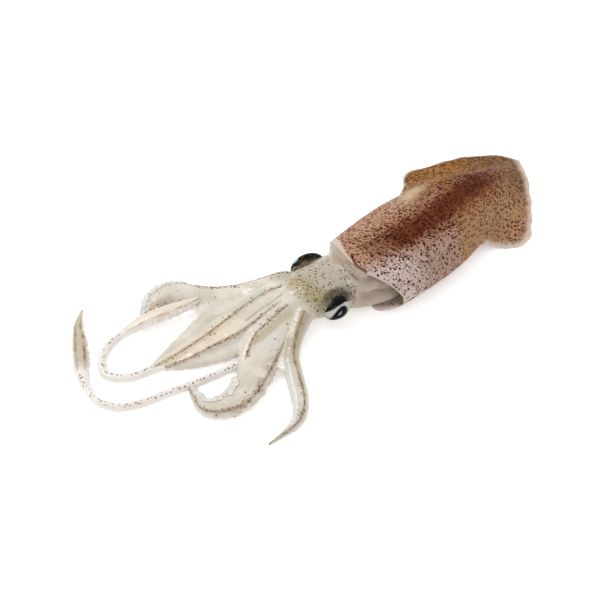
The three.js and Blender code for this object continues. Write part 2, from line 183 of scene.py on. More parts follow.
level = Vector((math.sin(TURN), math.cos(TURN), 0.0))
look = level * math.cos(ELEVATION) - Vector((0, 0, 1)) * math.sin(ELEVATION)
camera = bpy.data.objects.new("camera", bpy.data.cameras.new("camera"))
camera.data.lens = LENS
camera.data.sensor_width = 36
camera.location = LOOK_AT - look * DISTANCE
camera.rotation_euler = look.to_track_quat("-Z", "Y").to_euler()
bpy.context.scene.collection.objects.link(camera)
bpy.context.scene.camera = camera
print("camera at", tuple(round(v, 3) for v in camera.location))

# %% [markdown]
# ## Curves, grids and noise
# Every surface here is a grid: one number runs along the piece, the other round it. The helpers
# below turn such grids into closed meshes as whole arrays. A limb's rings are set square to its
# curve, with their wide way level, because soft flesh flattens on the table.


# %% A smooth curve through stations
def placed(points):
    """Millimetres in the animal's measure, turned into metres in the CAD's frame."""
    return (points - CENTRE) * MM


def measured(points):
    """Metres in the CAD's frame, turned back into millimetres in the animal's measure."""
    return points / MM + CENTRE


def smooth_through(stations, count):
    """A Catmull-Rom curve: between two stations, the cubic whose end slopes are half of the step
    from the neighbour behind to the neighbour ahead."""
    given = np.asarray(stations, float)
    points = np.vstack([2 * given[0] - given[1], given, 2 * given[-1] - given[-2]])
    t = np.linspace(0, len(given) - 1, count)
    k = np.minimum(t.astype(int), len(given) - 2)
    f = (t - k)[:, None]
    a, b, c, d = points[k], points[k + 1], points[k + 2], points[k + 3]
    return b + 0.5 * f * (c - a + f * (2 * a - 5 * b + 4 * c - d + f * (3 * (b - c) + d - a)))


def limb_frame(stations, count):
    """The curve's places in metres, its unit ways across and up, and its two half sizes. Across is
    level: the cross product of straight up and the way along."""
    path = smooth_through(stations, count)
    at = placed(path[:, :3])
    along = np.gradient(at, axis=0)
    along /= np.linalg.norm(along, axis=1, keepdims=True)
    across = np.cross([0.0, 0.0, 1.0], along)
    across /= np.linalg.norm(across, axis=1, keepdims=True)
    return {"at": at, "across": across, "rise": np.cross(along, across), "size": path[:, 3:] * MM}


# %% Small shared formulas
def bend(value, power):
    """The value's size to a power, with its sign kept: it squares off or sharpens a circle."""
    return np.sign(value) * np.abs(value) ** power


def ramp(value, low, high):
    """0 below low, 1 above high, and between them the smooth step 3t^2 - 2t^3."""
    t = np.clip((value - low) / (high - low), 0, 1)
    return t * t * (3 - 2 * t)


def bump(value, middle, width):
    """A bell: e to the power of minus the square of the distance from the middle in widths."""
    return np.exp(-(((value - middle) / width) ** 2))


def waves(points, size, seed, count=14):
    """Soft noise from -1 to 1: the mean of plane waves of about one length in seeded ways."""
    draw = np.random.default_rng(seed)
    ways = draw.normal(size=(count, 3))
    ways /= np.linalg.norm(ways, axis=1, keepdims=True)
    ways *= draw.uniform(0.6, 1.5, (count, 1)) * 2 * np.pi / size
    phases = draw.uniform(0, 2 * np.pi, count)
    return np.sin(points @ ways.T + phases).mean(axis=1) * np.sqrt(count) / 2


def line_gap(points, line, plan=True, samples=160):
    """How far each point is from a smooth curve through a few places, in millimetres: the distance to
    the nearest of its samples, measured in plan or in space."""
    sides = 2 if plan else 3
    curve = smooth_through(line, samples)[:, :sides]
    here = points[:, :sides] / MM
    squares = (here**2).sum(1)[:, None] + (curve**2).sum(1)[None, :] - 2 * here @ curve.T
    return np.sqrt(np.maximum(squares.min(1), 0))


# %% Rings of points as a closed grid
def closed_grid(rings):
    """Rings of equal length joined by two triangles a step, with a fan to a middle point at each end."""
    rings = np.asarray(rings, float)
    count, sides = rings.shape[:2]
    start = np.arange(count - 1)[:, None] * sides
    here = np.arange(sides)[None, :]
    after = (here + 1) % sides
    a, b, c, d = start + here, start + after, start + sides + here, start + sides + after
    walls = np.stack([np.stack([a, b, c], -1), np.stack([b, d, c], -1)]).reshape(-1, 3)
    first, last = count * sides, count * sides + 1
    ring, turned = np.arange(sides), (np.arange(sides) + 1) % sides
    fans = [np.stack([np.full(sides, first), turned, ring], -1)]
    fans.append(np.stack([np.full(sides, last), last - 1 - sides + ring, last - 1 - sides + turned], -1))
    points = np.vstack([rings.reshape(-1, 3), rings[0].mean(0), rings[-1].mean(0)])
    return outward(points, np.vstack([walls, *fans]))


def outward(points, faces):
    """The faces turned over if the volume that they close, the sum of their corner products, is negative."""
    a, b, c = (points[faces[:, i]] for i in range(3))
    volume = np.einsum("ij,ij->i", a, np.cross(b, c)).sum()
    return points, faces if volume > 0 else faces[:, ::-1]


# %% Arrays into a Blender object
def new_piece(name, points, faces):
    """One mesh object at the origin from an array of points and one of triangles."""
    mesh = bpy.data.meshes.new(name)
    mesh.vertices.add(len(points))
    mesh.vertices.foreach_set("co", np.asarray(points, np.float32).ravel())
    mesh.loops.add(faces.size)
    mesh.loops.foreach_set("vertex_index", faces.astype(np.int32).ravel())
    mesh.polygons.add(len(faces))
    mesh.polygons.foreach_set("loop_start", np.arange(0, faces.size, faces.shape[1], dtype=np.int32))
    mesh.update(calc_edges=True)
    mesh.validate()
    mesh.shade_smooth()
    piece = bpy.data.objects.new(name, mesh)
    bpy.context.scene.collection.objects.link(piece)
    return piece


def joined(grids):
    """Several grids as one array of points and one of faces, with each grid's faces moved on."""
    steps = np.cumsum([0] + [len(points) for points, _ in grids[:-1]])
    faces = [faces + step for (_, faces), step in zip(grids, steps)]
    return np.vstack([points for points, _ in grids]), np.vstack(faces)


def fused(name, grids, voxel, rounds):
    """The grids melted into one skin by a voxel remesh, then eased by rounds of smoothing."""
    piece = new_piece(name, *joined(grids))
    melt = piece.modifiers.new("melt", "REMESH")
    melt.mode = "VOXEL"
    melt.voxel_size = voxel
    ease = piece.modifiers.new("ease", "SMOOTH")
    ease.factor = 0.5
    ease.iterations = rounds
    graph = bpy.context.evaluated_depsgraph_get()
    mesh = bpy.data.meshes.new_from_object(piece.evaluated_get(graph))
    piece.modifiers.clear()
    piece.data = mesh
    mesh.shade_smooth()
    print(name, "has", len(mesh.polygons), "faces")
    return piece


# %% Points of a finished mesh
def per_point(piece, key):
    """The mesh's points as one array: their places for the key "co", the ways that they face for
    "normal"."""
    flat = np.empty(len(piece.data.vertices) * 3, np.float32)
    piece.data.vertices.foreach_get(key, flat)
    return flat.reshape(-1, 3).astype(float)


def edge_ends(piece):
    """The point numbers of the two ends of every edge, as two arrays."""
    ends = np.empty(len(piece.data.edges) * 2, np.int32)
    piece.data.edges.foreach_get("vertices", ends)
    return ends.reshape(-1, 2).T


def beside(values, ends):
    """For each point, the sum of its neighbours' values."""
    first, second = ends
    total = np.bincount(first, values[second], len(values))
    return total + np.bincount(second, values[first], len(values))


def eased(piece, weight, rounds):
    """The mesh's points, each moved half of the way to the mean of its neighbours, times its weight, in
    a number of rounds: it melts the valleys between limbs."""
    ends = edge_ends(piece)
    points = per_point(piece, "co")
    count = beside(np.ones(len(points)), ends)
    for _ in range(rounds):
        for axis in range(3):
            mean = beside(points[:, axis], ends) / count
            points[:, axis] += 0.5 * weight * (mean - points[:, axis])
    return points


TABLE_GAP = 0.1 * MM


def move_points(piece, points):
    """Puts new places in the mesh, none of them under the table."""
    points[:, 2] = np.maximum(points[:, 2], TABLE_GAP)
    piece.data.vertices.foreach_set("co", points.astype(np.float32).ravel())
    piece.data.update()


def roughen(piece, points, swells):
    """Puts in the mesh its points, as they are or eased, each moved by a sum of soft noises the way that
    the mesh faces there. A swell is a height and a size in millimetres, and a seed."""
    height = sum(high * waves(points, size * MM, seed) for high, size, seed in swells)
    move_points(piece, points + per_point(piece, "normal") * (height * MM)[:, None])


def keep(piece, masks):
    """Stores each array of a dictionary, one number for each point, as an attribute that the finishes
    read."""
    for name, values in masks.items():
        layer = piece.data.attributes.new(name, "FLOAT", "POINT")
        layer.data.foreach_set("value", np.asarray(values, np.float32).ravel())


# %% [markdown]
# ## The mantle
# The mantle is a muscular tube, round on the back and flatter on the belly, tapering to the tail.
# It could be sculpted, but a formula keeps it true to the CAD: each ring is an oval whose half width
# and height shrink towards the tail. The front rim leans, has a small lobe at the middle of the back
# and a lip on the belly side, and the wall is thinnest on the near side, where it curls out a little.


# %% The mantle's formulas
def mantle_at(s):
    """At a share s of the length, in millimetres: the middle line's y, which drifts with the cube of s,
    the half width, which swells as a sine and closes at the tail, and the height, which closes there."""
    y = MANTLE_Y + (TAIL_Y - MANTLE_Y) * s**3
    half = (MANTLE_HALF + MANTLE_SWELL * np.sin(np.pi * s)) * (1 - s**3) ** 1.6
    return y, half, MANTLE_HIGH * (1 - s**2.4) ** 0.85


def rim_x(turn):
    """The rim's place round the section: a lean, a lobe on the back and a lip on the belly."""
    turn = turn % (2 * np.pi)
    lean = RIM_TILT * np.sin(turn + 0.2) - FAR_BACK * bump(turn, 0.5, 0.6)
    return RIM_X - lean - LAPPET * bump(turn, 1.75, 0.5) - BELLY_LIP * bump(turn, 4.35, 0.55)


def mantle_ring(s, depth, sides=180):
    """An oval ring at share s, sunk into the flesh by a depth: a circle above the axis, squared below."""
    y, half, high = mantle_at(s)
    axis = AXIS_SHARE * high
    turn = np.linspace(0, 2 * np.pi, sides, endpoint=False)
    below = np.sin(turn) < 0
    power = np.where(below, BELLY_SQUARE, 1.0)
    reach = np.maximum(np.where(below, axis + BELLY_PRESS, high - axis) - depth, THINNEST[1])
    x = rim_x(turn) + (TAIL_X - rim_x(turn)) * s
    across = np.maximum(half - depth, THINNEST[0]) * bend(np.cos(turn), power)
    return placed(np.stack([x, y + across, axis + reach * bend(np.sin(turn), power)], -1))


def mantle_grid():
    """Rings from the mouth's blind end, forward inside the wall, over the rim and back to the tail."""
    deep = MOUTH_DEEP / (TAIL_X - RIM_X)
    turn = np.linspace(0, 2 * np.pi, 180, endpoint=False)
    wall = WALL - THIN_FAR * bump(turn, 2.6, 0.5) - THIN_NEAR * bump(turn, 3.4, 0.5)
    inside = [(deep, 1.0), (0.6 * deep, 0.3), (0.02, 0), (0.006, -0.1)]
    over_the_rim = [(0.001, 0.72), (0.0, 0.5), (0.001, 0.28), (0.006, 0.05)]
    rings = [mantle_ring(s, wall + more) for s, more in inside]
    rings += [mantle_ring(s, share * wall) for s, share in over_the_rim]
    rings += [mantle_ring(s, 0) for s in 0.012 + 0.985 * np.linspace(0, 1, 140) ** 0.85]
    return closed_grid(rings)


def collar_grid(sides=180):
    """The roll of neck flesh in the mouth: the rim's own ring stepped forward, shrunk to the mantle's
    axis on the far side, and to the neck's oval on the near side."""
    turn = np.linspace(0, 2 * np.pi, sides, endpoint=False)
    rim = measured(mantle_ring(0, 0))
    far = 1 - ramp(turn, 1.8, 2.5) + ramp(turn, 5, 5.8)
    neck_y, neck_z, neck_half, neck_high = NECK
    rings = []
    for step, share in smooth_through(COLLAR, 24):
        narrow = (1 - far) * min(share + 0.05, 1)
        far_y = MANTLE_Y + share * (rim[:, 1] - MANTLE_Y)
        y = neck_y + far * (far_y - neck_y) + narrow * neck_half * np.cos(turn)
        z = neck_z + far * share * (rim[:, 2] - neck_z) + narrow * neck_high * np.sin(turn)
        rings.append(np.stack([rim[:, 0] + step, y, z], -1))
    return closed_grid(placed(np.array(rings)))


# %% [markdown]
# ## The fins
# The two fins are thin flaps that join the mantle along the back of its rear half. Lying on a table
# they drape: each leaves the back, falls over the flank and ends in a rippled, see-through edge.
# Cloth simulation would do it, but wet fins cling and keep their own curl, so the drape is a formula.


# %% The fins' formulas
NO_WIDTH = 1e-9


def back_height(x, y, clear):
    """The height of the mantle's back at a place in plan, 0 outside it, with the mantle grown by clear."""
    s = np.clip((x - RIM_X) / (TAIL_X - RIM_X), 0, 1)
    middle, half, high = mantle_at(s)
    across = np.clip((y - middle) / np.maximum(half + clear, NO_WIDTH), -1, 1)
    axis = AXIS_SHARE * high
    return np.where(np.abs(across) < 1, axis + (high - axis + clear) * np.sqrt(1 - across**2), 0)


def fin_root(side, root_x, rows):
    """A fin's root line in plan: along the back, at a share of the half width from its middle."""
    x = np.linspace(root_x, TAIL_X - 3, rows)
    middle, half, _ = mantle_at((x - RIM_X) / (TAIL_X - RIM_X))
    return x, middle + side * FIN_ROOT_SHARE * half


def fin_grid(side, root_x, steep, edge, rows=170, steps=46):
    """Sections from a line on the back to the edge. The height is the larger of a falling power curve
    and the flank itself, never falls faster than its steepness, and gains ripples towards the edge."""
    u, v = np.meshgrid(np.linspace(0, 1, rows), np.linspace(0, 1, steps), indexing="ij")
    rim = smooth_through(edge, rows)[:, None, :]
    x0, y0 = (line[:, None] for line in fin_root(side, root_x, rows))
    z0 = back_height(x0, y0, 0) - FIN_DIP
    scallop = FIN_SCALLOP * np.sin(11 * np.pi * u + 3 * np.sin(9 * u))
    scallop = scallop * ramp(u, 0.25, 0.4) * (1 - ramp(u, 0.9, 1))
    x, y = x0 + (rim[..., 0] - x0) * v, y0 + (rim[..., 1] - y0) * v + side * scallop * v**4
    drape = rim[..., 2] + (z0 - rim[..., 2]) * (1 - v) ** 1.2
    hug = (back_height(x, y, FIN_CLEAR) - FIN_CLEAR * (1 - np.minimum(3 * v, 1))) * (1 - ramp(v, 0.8, 1))
    z = np.maximum(drape, np.minimum(hug, z0 + FIN_STANDS))
    run = steep * np.hypot(x - x[:, :1], y - y[:, :1])
    z = np.maximum.accumulate(z + run, axis=1) - run
    for _ in range(FIN_EASE_ROUNDS):
        z[:, 1:-1] = 0.25 * (z[:, :-2] + z[:, 2:]) + 0.5 * z[:, 1:-1]
    ripple = np.sin(9.5 * np.pi * u + 2.2 * np.sin(5 * u) + side) + 0.6 * np.sin(23 * u + 3 * v)
    z = np.maximum(z + FIN_RIPPLE * v**2.5 * ripple * np.sin(np.pi * np.clip(u, 0.02, 0.98)), FIN_LOWEST)
    back = back_height(x, y, 0)
    low = np.minimum(z - (FIN_THICK - FIN_THINS * v**0.7), np.where(back > 0, back - FIN_SUNK, z))
    top, below = (np.stack([x, y, height], -1) for height in (z, low))
    return closed_grid(placed(np.concatenate([top, below[:, ::-1]], axis=1)))


# %% Mantle and fins in one skin
grids = [mantle_grid()] + [fin_grid(**fin) for fin in FINS.values()]
mantle = fused("mantle_and_fins", grids, MANTLE_VOXEL, EASE_ROUNDS)

# %% [markdown]
# ## What the skin shows, place by place
# The colour of a squid's skin comes from thousands of tiny sacs of pigment, crowded along the back
# and sparse on the belly. The places where they crowd are worked out here, from each point's place
# on the body, and stored with the mesh as distances, so that the finish can draw crisp edges.


# %% Reading the mantle
def mantle_reading(points):
    """For each point: the turn round the mantle, its distance behind the rim and how far it lies out."""
    x, y, z = measured(points).T
    middle, half, high = mantle_at(np.clip((x - RIM_X) / (TAIL_X - RIM_X), 0, 0.995))
    axis = AXIS_SHARE * high
    across, up = (y - middle) / half, (z - axis) / np.where(z > axis, high - axis, axis)
    turn = np.arctan2(up, across) % (2 * np.pi)
    return turn, x - rim_x(turn), np.hypot(across, up)


shift = CENTRE * MM
roots = [np.stack(fin_root(fin["side"], fin["root_x"], 30), -1) for fin in FINS.values()]
points = per_point(mantle, "co")
gap = np.min([line_gap(points + shift, root) for root in roots], axis=0)
points = eased(mantle, (1 - ramp(gap, 2, 7)) * ramp(points[:, 2], 8 * MM, 12 * MM), 40)
turn, behind, out = mantle_reading(points)
roughen(mantle, points, [(0.16, 14, 3), (0.07, 5, 4)])
x_mm, y_mm, z_mm = (points / MM).T
print("mantle points:", len(points))

# %% Masks of the mantle
BAND = [
    [12, -27], [21, -28.5], [34, -31.8], [56, -32.6], [76, -31.3], [100, -27.3], [123, -24], [155, -21],
]
RIM_LINE = [[5.5, -22.5], [3.3, -25.9], [1.6, -30], [1.4, -34.4], [2.6, -38.5]]
margin = 1.2 + 3.5 * (1 - ramp(turn, 0.7, 1.4)) - 0.5 * ramp(turn, 1.9, 2.3)
inner = (1 - ramp(out, 0.88, 0.95)) * (x_mm < 34)
strength = 0.45 * ramp(x_mm, 6, 22) + 0.55 * ramp(x_mm, 24, 40) - ramp(x_mm, 116, 158)
near_front = x_mm - 85 - 0.8 * (y_mm + 38) + 1.5 * waves(points, 12 * MM, 21)
near_fin = ramp(near_front, -9, 7) * ramp(-y_mm, 30, 36)
near_fin = near_fin + ramp(y_mm, -36, -30) * ramp(x_mm - y_mm, 114, 124) * (y_mm < -24)
flank = ramp(-y_mm - 0.1 * (x_mm - 20), 32, 46) * (1 - near_fin) * (1 - 0.7 * ramp(x_mm, 20, 80))
pale = bump(np.hypot((x_mm - 77) / 11, (y_mm + 6) / 5), 0, 1)
calm_fin = np.clip(near_fin, 0, 1) * (1 - 0.8 * ramp(x_mm, 98, 122))
edges = {name: line_gap(points + shift, fin["edge"], plan=False) for name, fin in FINS.items()}
mantle_masks = {
    "rim": np.where(inner > 0.5, -1, behind - margin),
    "inner": inner,
    "strength": strength * ramp(z_mm, 3, 8),
    "band": line_gap(points, BAND),
    "rim_line": line_gap(points, RIM_LINE),
    "near_fin": np.clip(near_fin, 0, 1),
    "far_fin": ramp(y_mm, -15, -12) * ramp(x_mm, 72, 78),
    "flank": flank,
    "belly": ramp(-z_mm, -6, -1.5) * (out < 1.1),
    "pale": pale,
    "quiet": np.maximum(pale, calm_fin),
    "edge": np.minimum(edges["near"] / 5.2, edges["far"] / 2.2) + 1 - ramp(x_mm, 84, 94),
    "tail": ramp(x_mm, 128, 158),
    # low: painted shade, the lower near flank darker towards the table
    "low": ramp(-y_mm, 42, 58) * ramp(x_mm, 22, 44) * (1 - near_fin),
}
keep(mantle, mantle_masks)
print("mantle masks:", *mantle_masks)

# %% [markdown]
# ## The finishes
# Each finish is one surface shader whose colour is built up in layers, as an illustrator would do it: a
# pale ground, then patches, then spots of pigment. A picture wrapped round the squid would blur close
# up, so the patterns are noises and cells in space. Their sizes are in metres, as Object coordinates
# are, while the distances stored with the meshes are in millimetres.

# %% A colour and a shader
LIGHT_ON_PIECES = 1.22


def paint(red, green, blue, sheen=0.012):
    """A colour given as the 0 to 255 screen values seen under this lamp, turned into Blender's linear
    light: the wet sheen is taken off, and the rest is divided by the light that falls on it."""
    share = np.array([red, green, blue]) / 255
    linear = np.where(share <= 0.04045, share / 12.92, ((share + 0.055) / 1.055) ** 2.4)
    return (*np.clip((linear - sheen) / LIGHT_ON_PIECES, 0.004, 0.98), 1.0)


def new_finish(name, rough, soft_depth, soft_share, coat, shine):
    """A material with one wet, slightly see-through surface shader: it gives the material, its nodes, the
    shader and the places that patterns read. Shine is how much of the even light all round it mirrors:
    raw flesh in a light tent shows its own colour, so it is kept low."""
    finish = bpy.data.materials.new(name)
    finish.use_nodes = True
    shader = finish.node_tree.nodes["Principled BSDF"]
    shader.inputs["Roughness"].default_value = rough
    shader.inputs["Subsurface Weight"].default_value = soft_share
    shader.inputs["Subsurface Radius"].default_value = (1.0, 0.6, 0.45)
    shader.inputs["Subsurface Scale"].default_value = soft_depth
    shader.inputs["Coat Weight"].default_value = coat
    shader.inputs["Coat Roughness"].default_value = 0.12
    shader.inputs["Specular IOR Level"].default_value = shine
    tree = finish.node_tree
    return finish, tree, shader, tree.nodes.new("ShaderNodeTexCoord").outputs["Object"]


# %% Small steps between nodes
def masks_in(tree, names):
    """The outputs of the stored attributes, by name."""
    nodes = {name: tree.nodes.new("ShaderNodeAttribute") for name in names}
    for name, node in nodes.items():
        node.attribute_name = name
    return {name: node.outputs["Fac"] for name, node in nodes.items()}


def put(tree, value, socket):
    """Links a value that is a socket, or sets one that is a number or a colour."""
    if isinstance(value, bpy.types.NodeSocket):
        tree.links.new(value, socket)
    else:
        socket.default_value = value


def sums(tree, operation, *values):
    """One Math node."""
    node = tree.nodes.new("ShaderNodeMath")
    node.operation = operation
    for value, socket in zip(values, node.inputs):
        put(tree, value, socket)
    return node.outputs[0]


def product(tree, *values):
    """The product of several shares."""
    result = values[0]
    for value in values[1:]:
        result = sums(tree, "MULTIPLY", result, value)
    return result


def blend(tree, share, first, second):
    """One colour over another by a share."""
    node = tree.nodes.new("ShaderNodeMix")
    node.data_type = "RGBA"
    put(tree, share, node.inputs[0])
    put(tree, first, node.inputs[6])
    put(tree, second, node.inputs[7])
    return node.outputs[2]


def fade(tree, value, low, high, to_low=0.0, to_high=1.0):
    """A smooth step of a value from one range to another."""
    node = tree.nodes.new("ShaderNodeMapRange")
    node.interpolation_type = "SMOOTHSTEP"
    for number, given in enumerate([value, low, high, to_low, to_high]):
        put(tree, given, node.inputs[number])
    return node.outputs[0]


# %% Patterns
def cloud(tree, where, size, detail=3.0):
    """Soft noise with features of about a size."""
    node = tree.nodes.new("ShaderNodeTexNoise")
    put(tree, where, node.inputs["Vector"])
    node.inputs["Scale"].default_value = 1 / size
    node.inputs["Detail"].default_value = detail
    return node.outputs["Fac"]


def ragged(tree, value, where, size, amount):
    """A distance made uneven: soft noise from minus to plus an amount is added to it."""
    noise = sums(tree, "SUBTRACT", cloud(tree, where, size), 0.5)
    return sums(tree, "ADD", value, sums(tree, "MULTIPLY", noise, 4 * amount))


def sacs(tree, where, spacing, small, large, crowd, grow=0.0, edge=0.04):
    """Round spots of pigment: the cut of the skin through balls, one in each cell of a Voronoi pattern
    in space, with its radius drawn between two shares of the spacing, plus grow, and only in the share
    of the cells that crowd gives."""
    node = tree.nodes.new("ShaderNodeTexVoronoi")
    node.voronoi_dimensions = "3D"
    put(tree, where, node.inputs["Vector"])
    node.inputs["Scale"].default_value = 1 / spacing
    node.inputs["Randomness"].default_value = 0.9
    parts = tree.nodes.new("ShaderNodeSeparateColor")
    tree.links.new(node.outputs["Color"], parts.inputs[0])
    radius = sums(tree, "ADD", fade(tree, parts.outputs[0], 0.0, 1.0, small, large), grow)
    inner = sums(tree, "SUBTRACT", radius, edge)
    outer = sums(tree, "ADD", radius, edge)
    spot = fade(tree, node.outputs["Distance"], inner, outer, 1.0, 0.0)
    return sums(tree, "MULTIPLY", spot, sums(tree, "LESS_THAN", parts.outputs[1], crowd))


# %% Layers of colour
def mottled(tree, where, size, first, second, soft=0.15, detail=3.0):
    """Two colours in patches of about a size: noise from a softness under one half to as much over it
    shares them out."""
    share = fade(tree, cloud(tree, where, size, detail), 0.5 - soft, 0.5 + soft)
    return blend(tree, share, paint(*first), paint(*second))


def layered(tree, base, masks, where, layers):
    """Plain layers over the colours under them, in order. A layer is a mask, its greatest share and a
    colour. Where the mask is a distance, it also says from where to where the layer fades out, and may
    give the size and the amount of a ragged edge."""
    for name, most, colour, *line in layers:
        share = masks[name]
        if len(line) > 2:
            share = ragged(tree, share, where, *line[2:])
        share = fade(tree, share, *line[:2], most, 0.0) if line else product(tree, share, most)
        base = blend(tree, share, base, paint(*colour))
    return base


def relief_of(tree, shader, height, strength, depth):
    """A fine bump from a height."""
    node = tree.nodes.new("ShaderNodeBump")
    node.inputs["Strength"].default_value = strength
    node.inputs["Distance"].default_value = depth
    put(tree, height, node.inputs["Height"])
    tree.links.new(node.outputs[0], shader.inputs["Normal"])


# %% [markdown]
# ## The mantle's finish
# Real skin is a pale wet sheet with three layers of pigment sacs: large dark-brown spots, smaller
# red-brown ones between them, and a fine orange-tan haze. Along the back the sacs are open and run
# together into a maroon band. Painting an image would do, but patterns follow the skin at any zoom.

# %% Finish of the mantle: the ground colours
finish, tree, shader, place = new_finish(
    "mantle_skin", rough=0.5, soft_depth=0.001, soft_share=0.04, coat=0.0, shine=0.03
)
masks = masks_in(tree, mantle_masks)
base = layered(tree, paint(193, 156, 130), masks, place, [
    # the low layer is painted shade: the lower near flank darker towards the table
    ("flank", 1.0, (207, 192, 184)), ("low", 0.8, (164, 138, 122)), ("near_fin", 1.0, (177, 140, 106)),
    ("far_fin", 1.0, (165, 121, 62)), ("tail", 0.8, (128, 103, 80)),
])
haze = sacs(tree, place, 0.0010, 0.3, 0.6, 0.85, edge=0.15)
base = blend(tree, product(tree, haze, 0.35), base, paint(146, 104, 76))

# %% Finish of the mantle: the band and the spots
ragged_band = ragged(tree, masks["band"], place, 0.0035, 2.6)
core = product(tree, fade(tree, ragged_band, 4.0, 10.0, 1.0, 0.0), masks["strength"])
halo = product(tree, fade(tree, ragged_band, 5.0, 22.0, 1.0, 0.0), masks["strength"])
maroon = mottled(tree, place, 0.0026, (108, 54, 34), (42, 8, 0), soft=0.06, detail=2.0)
base = blend(tree, product(tree, halo, 0.75), base, paint(132, 82, 50))
base = blend(tree, product(tree, core, 0.92), base, maroon)
pigmented = fade(tree, ragged(tree, masks["rim"], place, 0.003, 0.5), -0.3, 0.9)
grow = sums(tree, "ADD", product(tree, halo, 0.12), product(tree, masks["far_fin"], 0.05))
calm = fade(tree, sums(tree, "MAXIMUM", masks["flank"], masks["pale"]), 0.0, 1.0, 1.0, 0.45)
small = sacs(tree, place, 0.0013, 0.24, 0.55, fade(tree, calm, 0.0, 1.0, 0.1, 0.9), grow)
medium = sacs(tree, place, 0.0017, 0.22, 0.46, fade(tree, calm, 0.4, 1.0, 0.6, 0.95), grow)
large = sacs(tree, place, 0.0024, 0.2, 0.4, 0.9, grow)
small_most = fade(tree, masks["near_fin"], 0.0, 1.0, 0.6, 0.4)
large_most = fade(tree, masks["quiet"], 0.0, 1.0, 0.92, 0.5)
spots = [
    (small, small_most, (124, 78, 54)), (medium, 0.85, (100, 54, 34)), (large, large_most, (72, 32, 16)),
]
for spot, most, colour in spots:
    base = blend(tree, product(tree, spot, most, pigmented), base, paint(*colour))

# %% Finish of the mantle: the pale margins, the rim and the inner wall
base = layered(tree, base, masks, place, [("pale", 0.65, (220, 200, 174))])
seen_through = fade(tree, ragged(tree, masks["edge"], place, 0.005, 0.28), 0.1, 1.1, 0.9, 0.0)
margin = mottled(tree, place, 0.012, (220, 208, 192), (226, 204, 190), soft=0.1)
base = blend(tree, seen_through, base, margin)
base = layered(tree, base, masks, place, [
    ("rim", 1.0, (206, 190, 176), -0.3, 0.6), ("rim_line", 0.85, (84, 44, 34), 0.3, 1.3, 0.003, 0.25),
])
wall = blend(tree, product(tree, large, 0.3), paint(252, 236, 226), paint(190, 156, 140))
base = blend(tree, masks["inner"], base, wall)
base = layered(tree, base, masks, place, [("belly", 0.6, (206, 192, 180))])
tree.links.new(base, shader.inputs["Base Color"])
relief_of(tree, shader, cloud(tree, place, 0.0015), 0.2, 0.0003)
mantle.data.materials.append(finish)
print("mantle finish has", len(tree.nodes), "nodes")

# %% [markdown]
# ## The head, the arms and the webs
# The head is a broad dome between the eyes, and runs back into the mantle as a neck with the funnel
# under it. Each arm is thick at the head and tapers, flat below where it carries the suckers, with
# a keel along its back. Skin webs join the arms near the head. All of it is one piece of flesh, so
# the grids are melted together with a voxel remesh, which also rounds the creases between arms.

# %% Where each arm's keel runs
# The keel's offset at the base and at the tip, as a share of the half width. The two arms without a
# visible keel have it at their middle.
KEELS = {
    "far_side": (-0.55, -0.8), "far_lower": (0.0, 0.0), "back_left": (0.15, 0.2), "back_right": (0.7, 0.5),
    "under": (0.0, 0.0), "near_upper": (0.35, 0.0), "near_lower": (0.85, 0.5), "near_side": (0.2, 0.6),
}
NO_KEEL = ("far_lower", "under")
ARM_FORM = {"ridge": 0.08, "top_power": 0.85, "frill": 0.24}
TENTACLE_FORM = {"top_power": 0.95, "frill": 0.3, "count": 460, "sides": 32}


# %% Grid of a limb
def limb_grid(stations, keel=(0, 0), ridge=0.0, top_power=1.0, count=150, sides=48, frill=0.0):
    """Rings across a limb: a squared-off oval below, a rounder one above, a low rounded ridge where the
    keel runs, and a frill that makes the two edges wave up and down where the limb is wide."""
    path = limb_frame(stations, count)
    turn = np.linspace(0, 2 * np.pi, sides, endpoint=False)[None, :]
    wide, high = path["size"][:, :1], path["size"][:, 1:]
    over = np.sin(turn) > 0
    out = bend(np.cos(turn), 0.85)
    up = bend(np.sin(turn), np.where(over, top_power, 0.8))
    line = np.linspace(keel[0], keel[1], count)[:, None]
    up = up + np.where(over, ridge * bump(out, line, 0.2), 0) * np.sin(turn)
    along = np.linspace(0, 1, count)[:, None]
    lobes = np.sin(120 * along + 2 * np.sin(37 * along) + 1.5 * np.sign(out))
    lobes = lobes + 0.6 * np.sin(290 * along + 1)
    flat = np.clip((wide - 1.3 * high) / (0.6 * high), 0, 1) * out**6
    up = up * (1 - 0.45 * flat) + frill * flat * lobes
    reaches = np.sin(170 * along + 2 * np.sin(50 * along) + np.sign(out))
    out = out * (1 + 0.3 * frill * flat * reaches)
    rings = path["at"][:, None, :] + path["across"][:, None, :] * (wide * out)[..., None]
    return closed_grid(rings + path["rise"][:, None, :] * (high * up)[..., None])


# %% Grid of a web
WEB_THICK, WEB_SAG, WEB_RIPPLE = 2.0, 0.9, 0.35


def web_grid(first, second, first_reach, second_reach, lift, count=60, steps=26):
    """A sheet between two arms' backs, sagging at its middle, with a free edge that bows back. Each arm
    has its own reach, as a share of its length, and the lift is the sheet's share of the arms' height."""
    u, w = np.meshgrid(np.linspace(0, 1, count), np.linspace(0, 1, steps), indexing="ij")
    bow = 1 - 0.3 * np.sin(np.pi * w)
    ends = []
    for name, reach in ((first, first_reach), (second, second_reach)):
        line = [[x, y, z + lift * high] for x, y, z, _, high in ARMS[name]]
        curve = smooth_through(line, 400)
        share = 0.04 + (reach * bow - 0.04) * u
        ends.append(curve[np.rint(share * 399).astype(int)])
    top = ends[0] + (ends[1] - ends[0]) * w[..., None]
    top[..., 2] -= (WEB_SAG - 0.5 * lift) * np.sin(np.pi * w)
    top[..., 2] += WEB_RIPPLE * np.sin(14 * w + 3 * u) * np.sin(np.pi * w) * u
    low = top - [0, 0, WEB_THICK]
    ring = np.concatenate([top, low[:, ::-1]], axis=1)
    return closed_grid(placed(ring))


